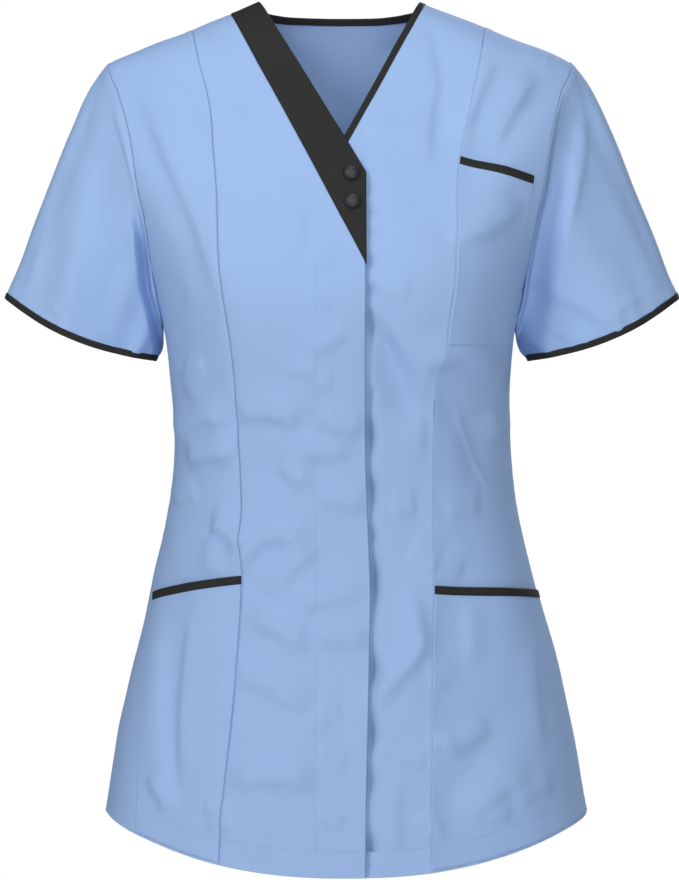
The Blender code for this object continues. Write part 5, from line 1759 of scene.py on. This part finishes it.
class TUNIC_OT_neck(bpy.types.Operator):
    """Build the contrast panel and the neck binding"""

    bl_idname = "tunic.neck"
    bl_label = "Neck panel and binding"

    def execute(self, context):
        build_contrast_panel(all_edges())
        build_neck_binding()
        return {"FINISHED"}


class TUNIC_OT_pockets(bpy.types.Operator):
    """Build the chest pocket and the hip pockets with their trims"""

    bl_idname = "tunic.pockets"
    bl_label = "Pockets"

    def execute(self, context):
        build_pockets(all_edges())
        return {"FINISHED"}


class TUNIC_OT_buttons(bpy.types.Operator):
    """Build the two buttons"""

    bl_idname = "tunic.buttons"
    bl_label = "Buttons"

    def execute(self, context):
        for node, (across, height) in BUTTONS.items():
            build_button(node, across, height)
        return {"FINISHED"}


class TUNIC_OT_stitching(bpy.types.Operator):
    """Sew the rows of stitches on the hem, placket, pockets, bindings and trims"""

    bl_idname = "tunic.stitching"
    bl_label = "Stitching"

    def execute(self, context):
        edges = all_edges()
        pale = thread_material("sky_blue_thread", lighter(sizes().main_colour, 0.97))
        dark = thread_material("black_thread", lighter(sizes().contrast_colour, 0.9))
        sew("hem_stitches", hem_lines(edges), pale)
        sew("placket_stitches", placket_stitches(edges), pale)
        sew("chest_pocket_stitches", chest_pocket_stitches(edges), pale)
        sew("dark_stitches", dark_lines(edges), dark)
        return {"FINISHED"}


class TUNIC_OT_studio(bpy.types.Operator):
    """Set up the floor, the lights and the camera"""

    bl_idname = "tunic.studio"
    bl_label = "Studio"

    def execute(self, context):
        build_floor()
        build_lights()
        build_camera()
        return {"FINISHED"}


class TUNIC_PT_panel(bpy.types.Panel):
    """Settings and steps of the tunic"""

    bl_idname = "TUNIC_PT_panel"
    bl_label = "Scrub Tunic"
    bl_space_type = "VIEW_3D"
    bl_region_type = "UI"
    bl_category = "Tunic"

    def draw(self, context):
        for name in TunicSizes.__annotations__:
            self.layout.prop(sizes(), name)
        for operator in OPERATORS:
            self.layout.operator(operator.bl_idname)


OPERATORS = (TUNIC_OT_front, TUNIC_OT_back, TUNIC_OT_sleeves, TUNIC_OT_neck, TUNIC_OT_pockets,
             TUNIC_OT_buttons, TUNIC_OT_stitching, TUNIC_OT_studio)
CLASSES = (TunicSizes,) + OPERATORS + (TUNIC_PT_panel,)


# --- Studio
def studio_object(name, data):
    made = bpy.data.objects.new(name, data)
    bpy.context.scene.collection.objects.link(made)
    return made


def build_floor():
    """A round pale floor, well below the tunic, which hangs as if worn."""
    mesh = bpy.data.meshes.new("studio_floor")
    turns = np.linspace(0, 2 * np.pi, FLOOR_CORNERS + 1)[:-1]
    rim = np.stack([np.cos(turns) * FLOOR_RADIUS, np.sin(turns) * FLOOR_RADIUS,
                    np.full(FLOOR_CORNERS, FLOOR_LEVEL)], -1)
    mesh.from_pydata(rim.tolist(), [], [list(range(FLOOR_CORNERS))])
    floor = studio_object("studio_floor", mesh)
    material, tree, shader = new_material("pale_floor")
    place = tree.nodes.new("ShaderNodeTexCoord").outputs["Object"]
    share = noise_node(tree, place, 3.0)
    tree.links.new(mixed_colour(tree, share, *FLOOR_TONES), shader.inputs["Base Color"])
    shader.inputs["Emission Color"].default_value = (1, 1, 1, 1)
    shader.inputs["Emission Strength"].default_value = FLOOR_GLOW
    tree.links.new(span(tree, share, 0.7, 0.8), shader.inputs["Roughness"])
    mesh.materials.append(material)


def place_lamp(name, kind, place, aim, power):
    lamp = bpy.data.lights.new(name, kind)
    lamp.energy = power
    holder = studio_object(name, lamp)
    holder.location = place
    holder.rotation_euler = (Vector(aim) - Vector(place)).to_track_quat("-Z", "Y").to_euler()
    return lamp


def build_lights():
    """A key from the viewer's upper left, a fill, frontal, top and back lamps, a narrow spot on
    the shoulders, and a dim surround that the camera sees as white."""
    for name, place, size, power in LAMPS:
        lamp = place_lamp(name, "AREA", place, LIT_POINT, power)
        lamp.shape, lamp.size = "DISK", size
    name, place, aim, cone, radius, power = SHOULDER_SPOT
    lamp = place_lamp(name, "SPOT", place, aim, power)
    lamp.spot_size, lamp.spot_blend, lamp.shadow_soft_size = cone, 1.0, radius
    world = bpy.data.worlds.new("white_surround")
    bpy.context.scene.world = world
    world.use_nodes = True
    tree = world.node_tree
    tree.nodes.clear()
    seen, lit = tree.nodes.new("ShaderNodeBackground"), tree.nodes.new("ShaderNodeBackground")
    seen.inputs["Strength"].default_value, lit.inputs["Strength"].default_value = 1.0, SURROUND
    seen.inputs["Color"].default_value = lit.inputs["Color"].default_value = (1, 1, 1, 1)
    path, mix = tree.nodes.new("ShaderNodeLightPath"), tree.nodes.new("ShaderNodeMixShader")
    output = tree.nodes.new("ShaderNodeOutputWorld")
    tree.links.new(path.outputs["Is Camera Ray"], mix.inputs["Fac"])
    tree.links.new(lit.outputs[0], mix.inputs[1])
    tree.links.new(seen.outputs[0], mix.inputs[2])
    tree.links.new(mix.outputs[0], output.inputs["Surface"])


def build_camera():
    """A long lens level with the middle of the tunic, as in the catalogue view."""
    camera = bpy.data.cameras.new("front_view")
    camera.sensor_width, camera.sensor_fit = SENSOR, "AUTO"
    camera.lens = SENSOR * VIEW_DISTANCE / VIEW_HEIGHT
    camera.clip_end = 100
    holder = studio_object("front_view", camera)
    holder.location = (VIEW_CENTRE[0], -VIEW_DISTANCE, VIEW_CENTRE[1])
    holder.rotation_euler = (np.pi / 2, 0, 0)
    scene = bpy.context.scene
    scene.camera = holder
    scene.view_settings.view_transform = "Standard"
    scene.view_settings.look = "None"


def register():
    for cls in CLASSES:
        bpy.utils.register_class(cls)
    bpy.types.Scene.tunic_sizes = bpy.props.PointerProperty(type=TunicSizes)


def unregister():
    del bpy.types.Scene.tunic_sizes
    for cls in reversed(CLASSES):
        bpy.utils.unregister_class(cls)


def main():
    """Builds the tunic and its studio."""
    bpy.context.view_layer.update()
    register()
    for operator in OPERATORS:
        group, name = operator.bl_idname.split(".")
        getattr(getattr(bpy.ops, group), name)()


if __name__ == "__main__":
    main()
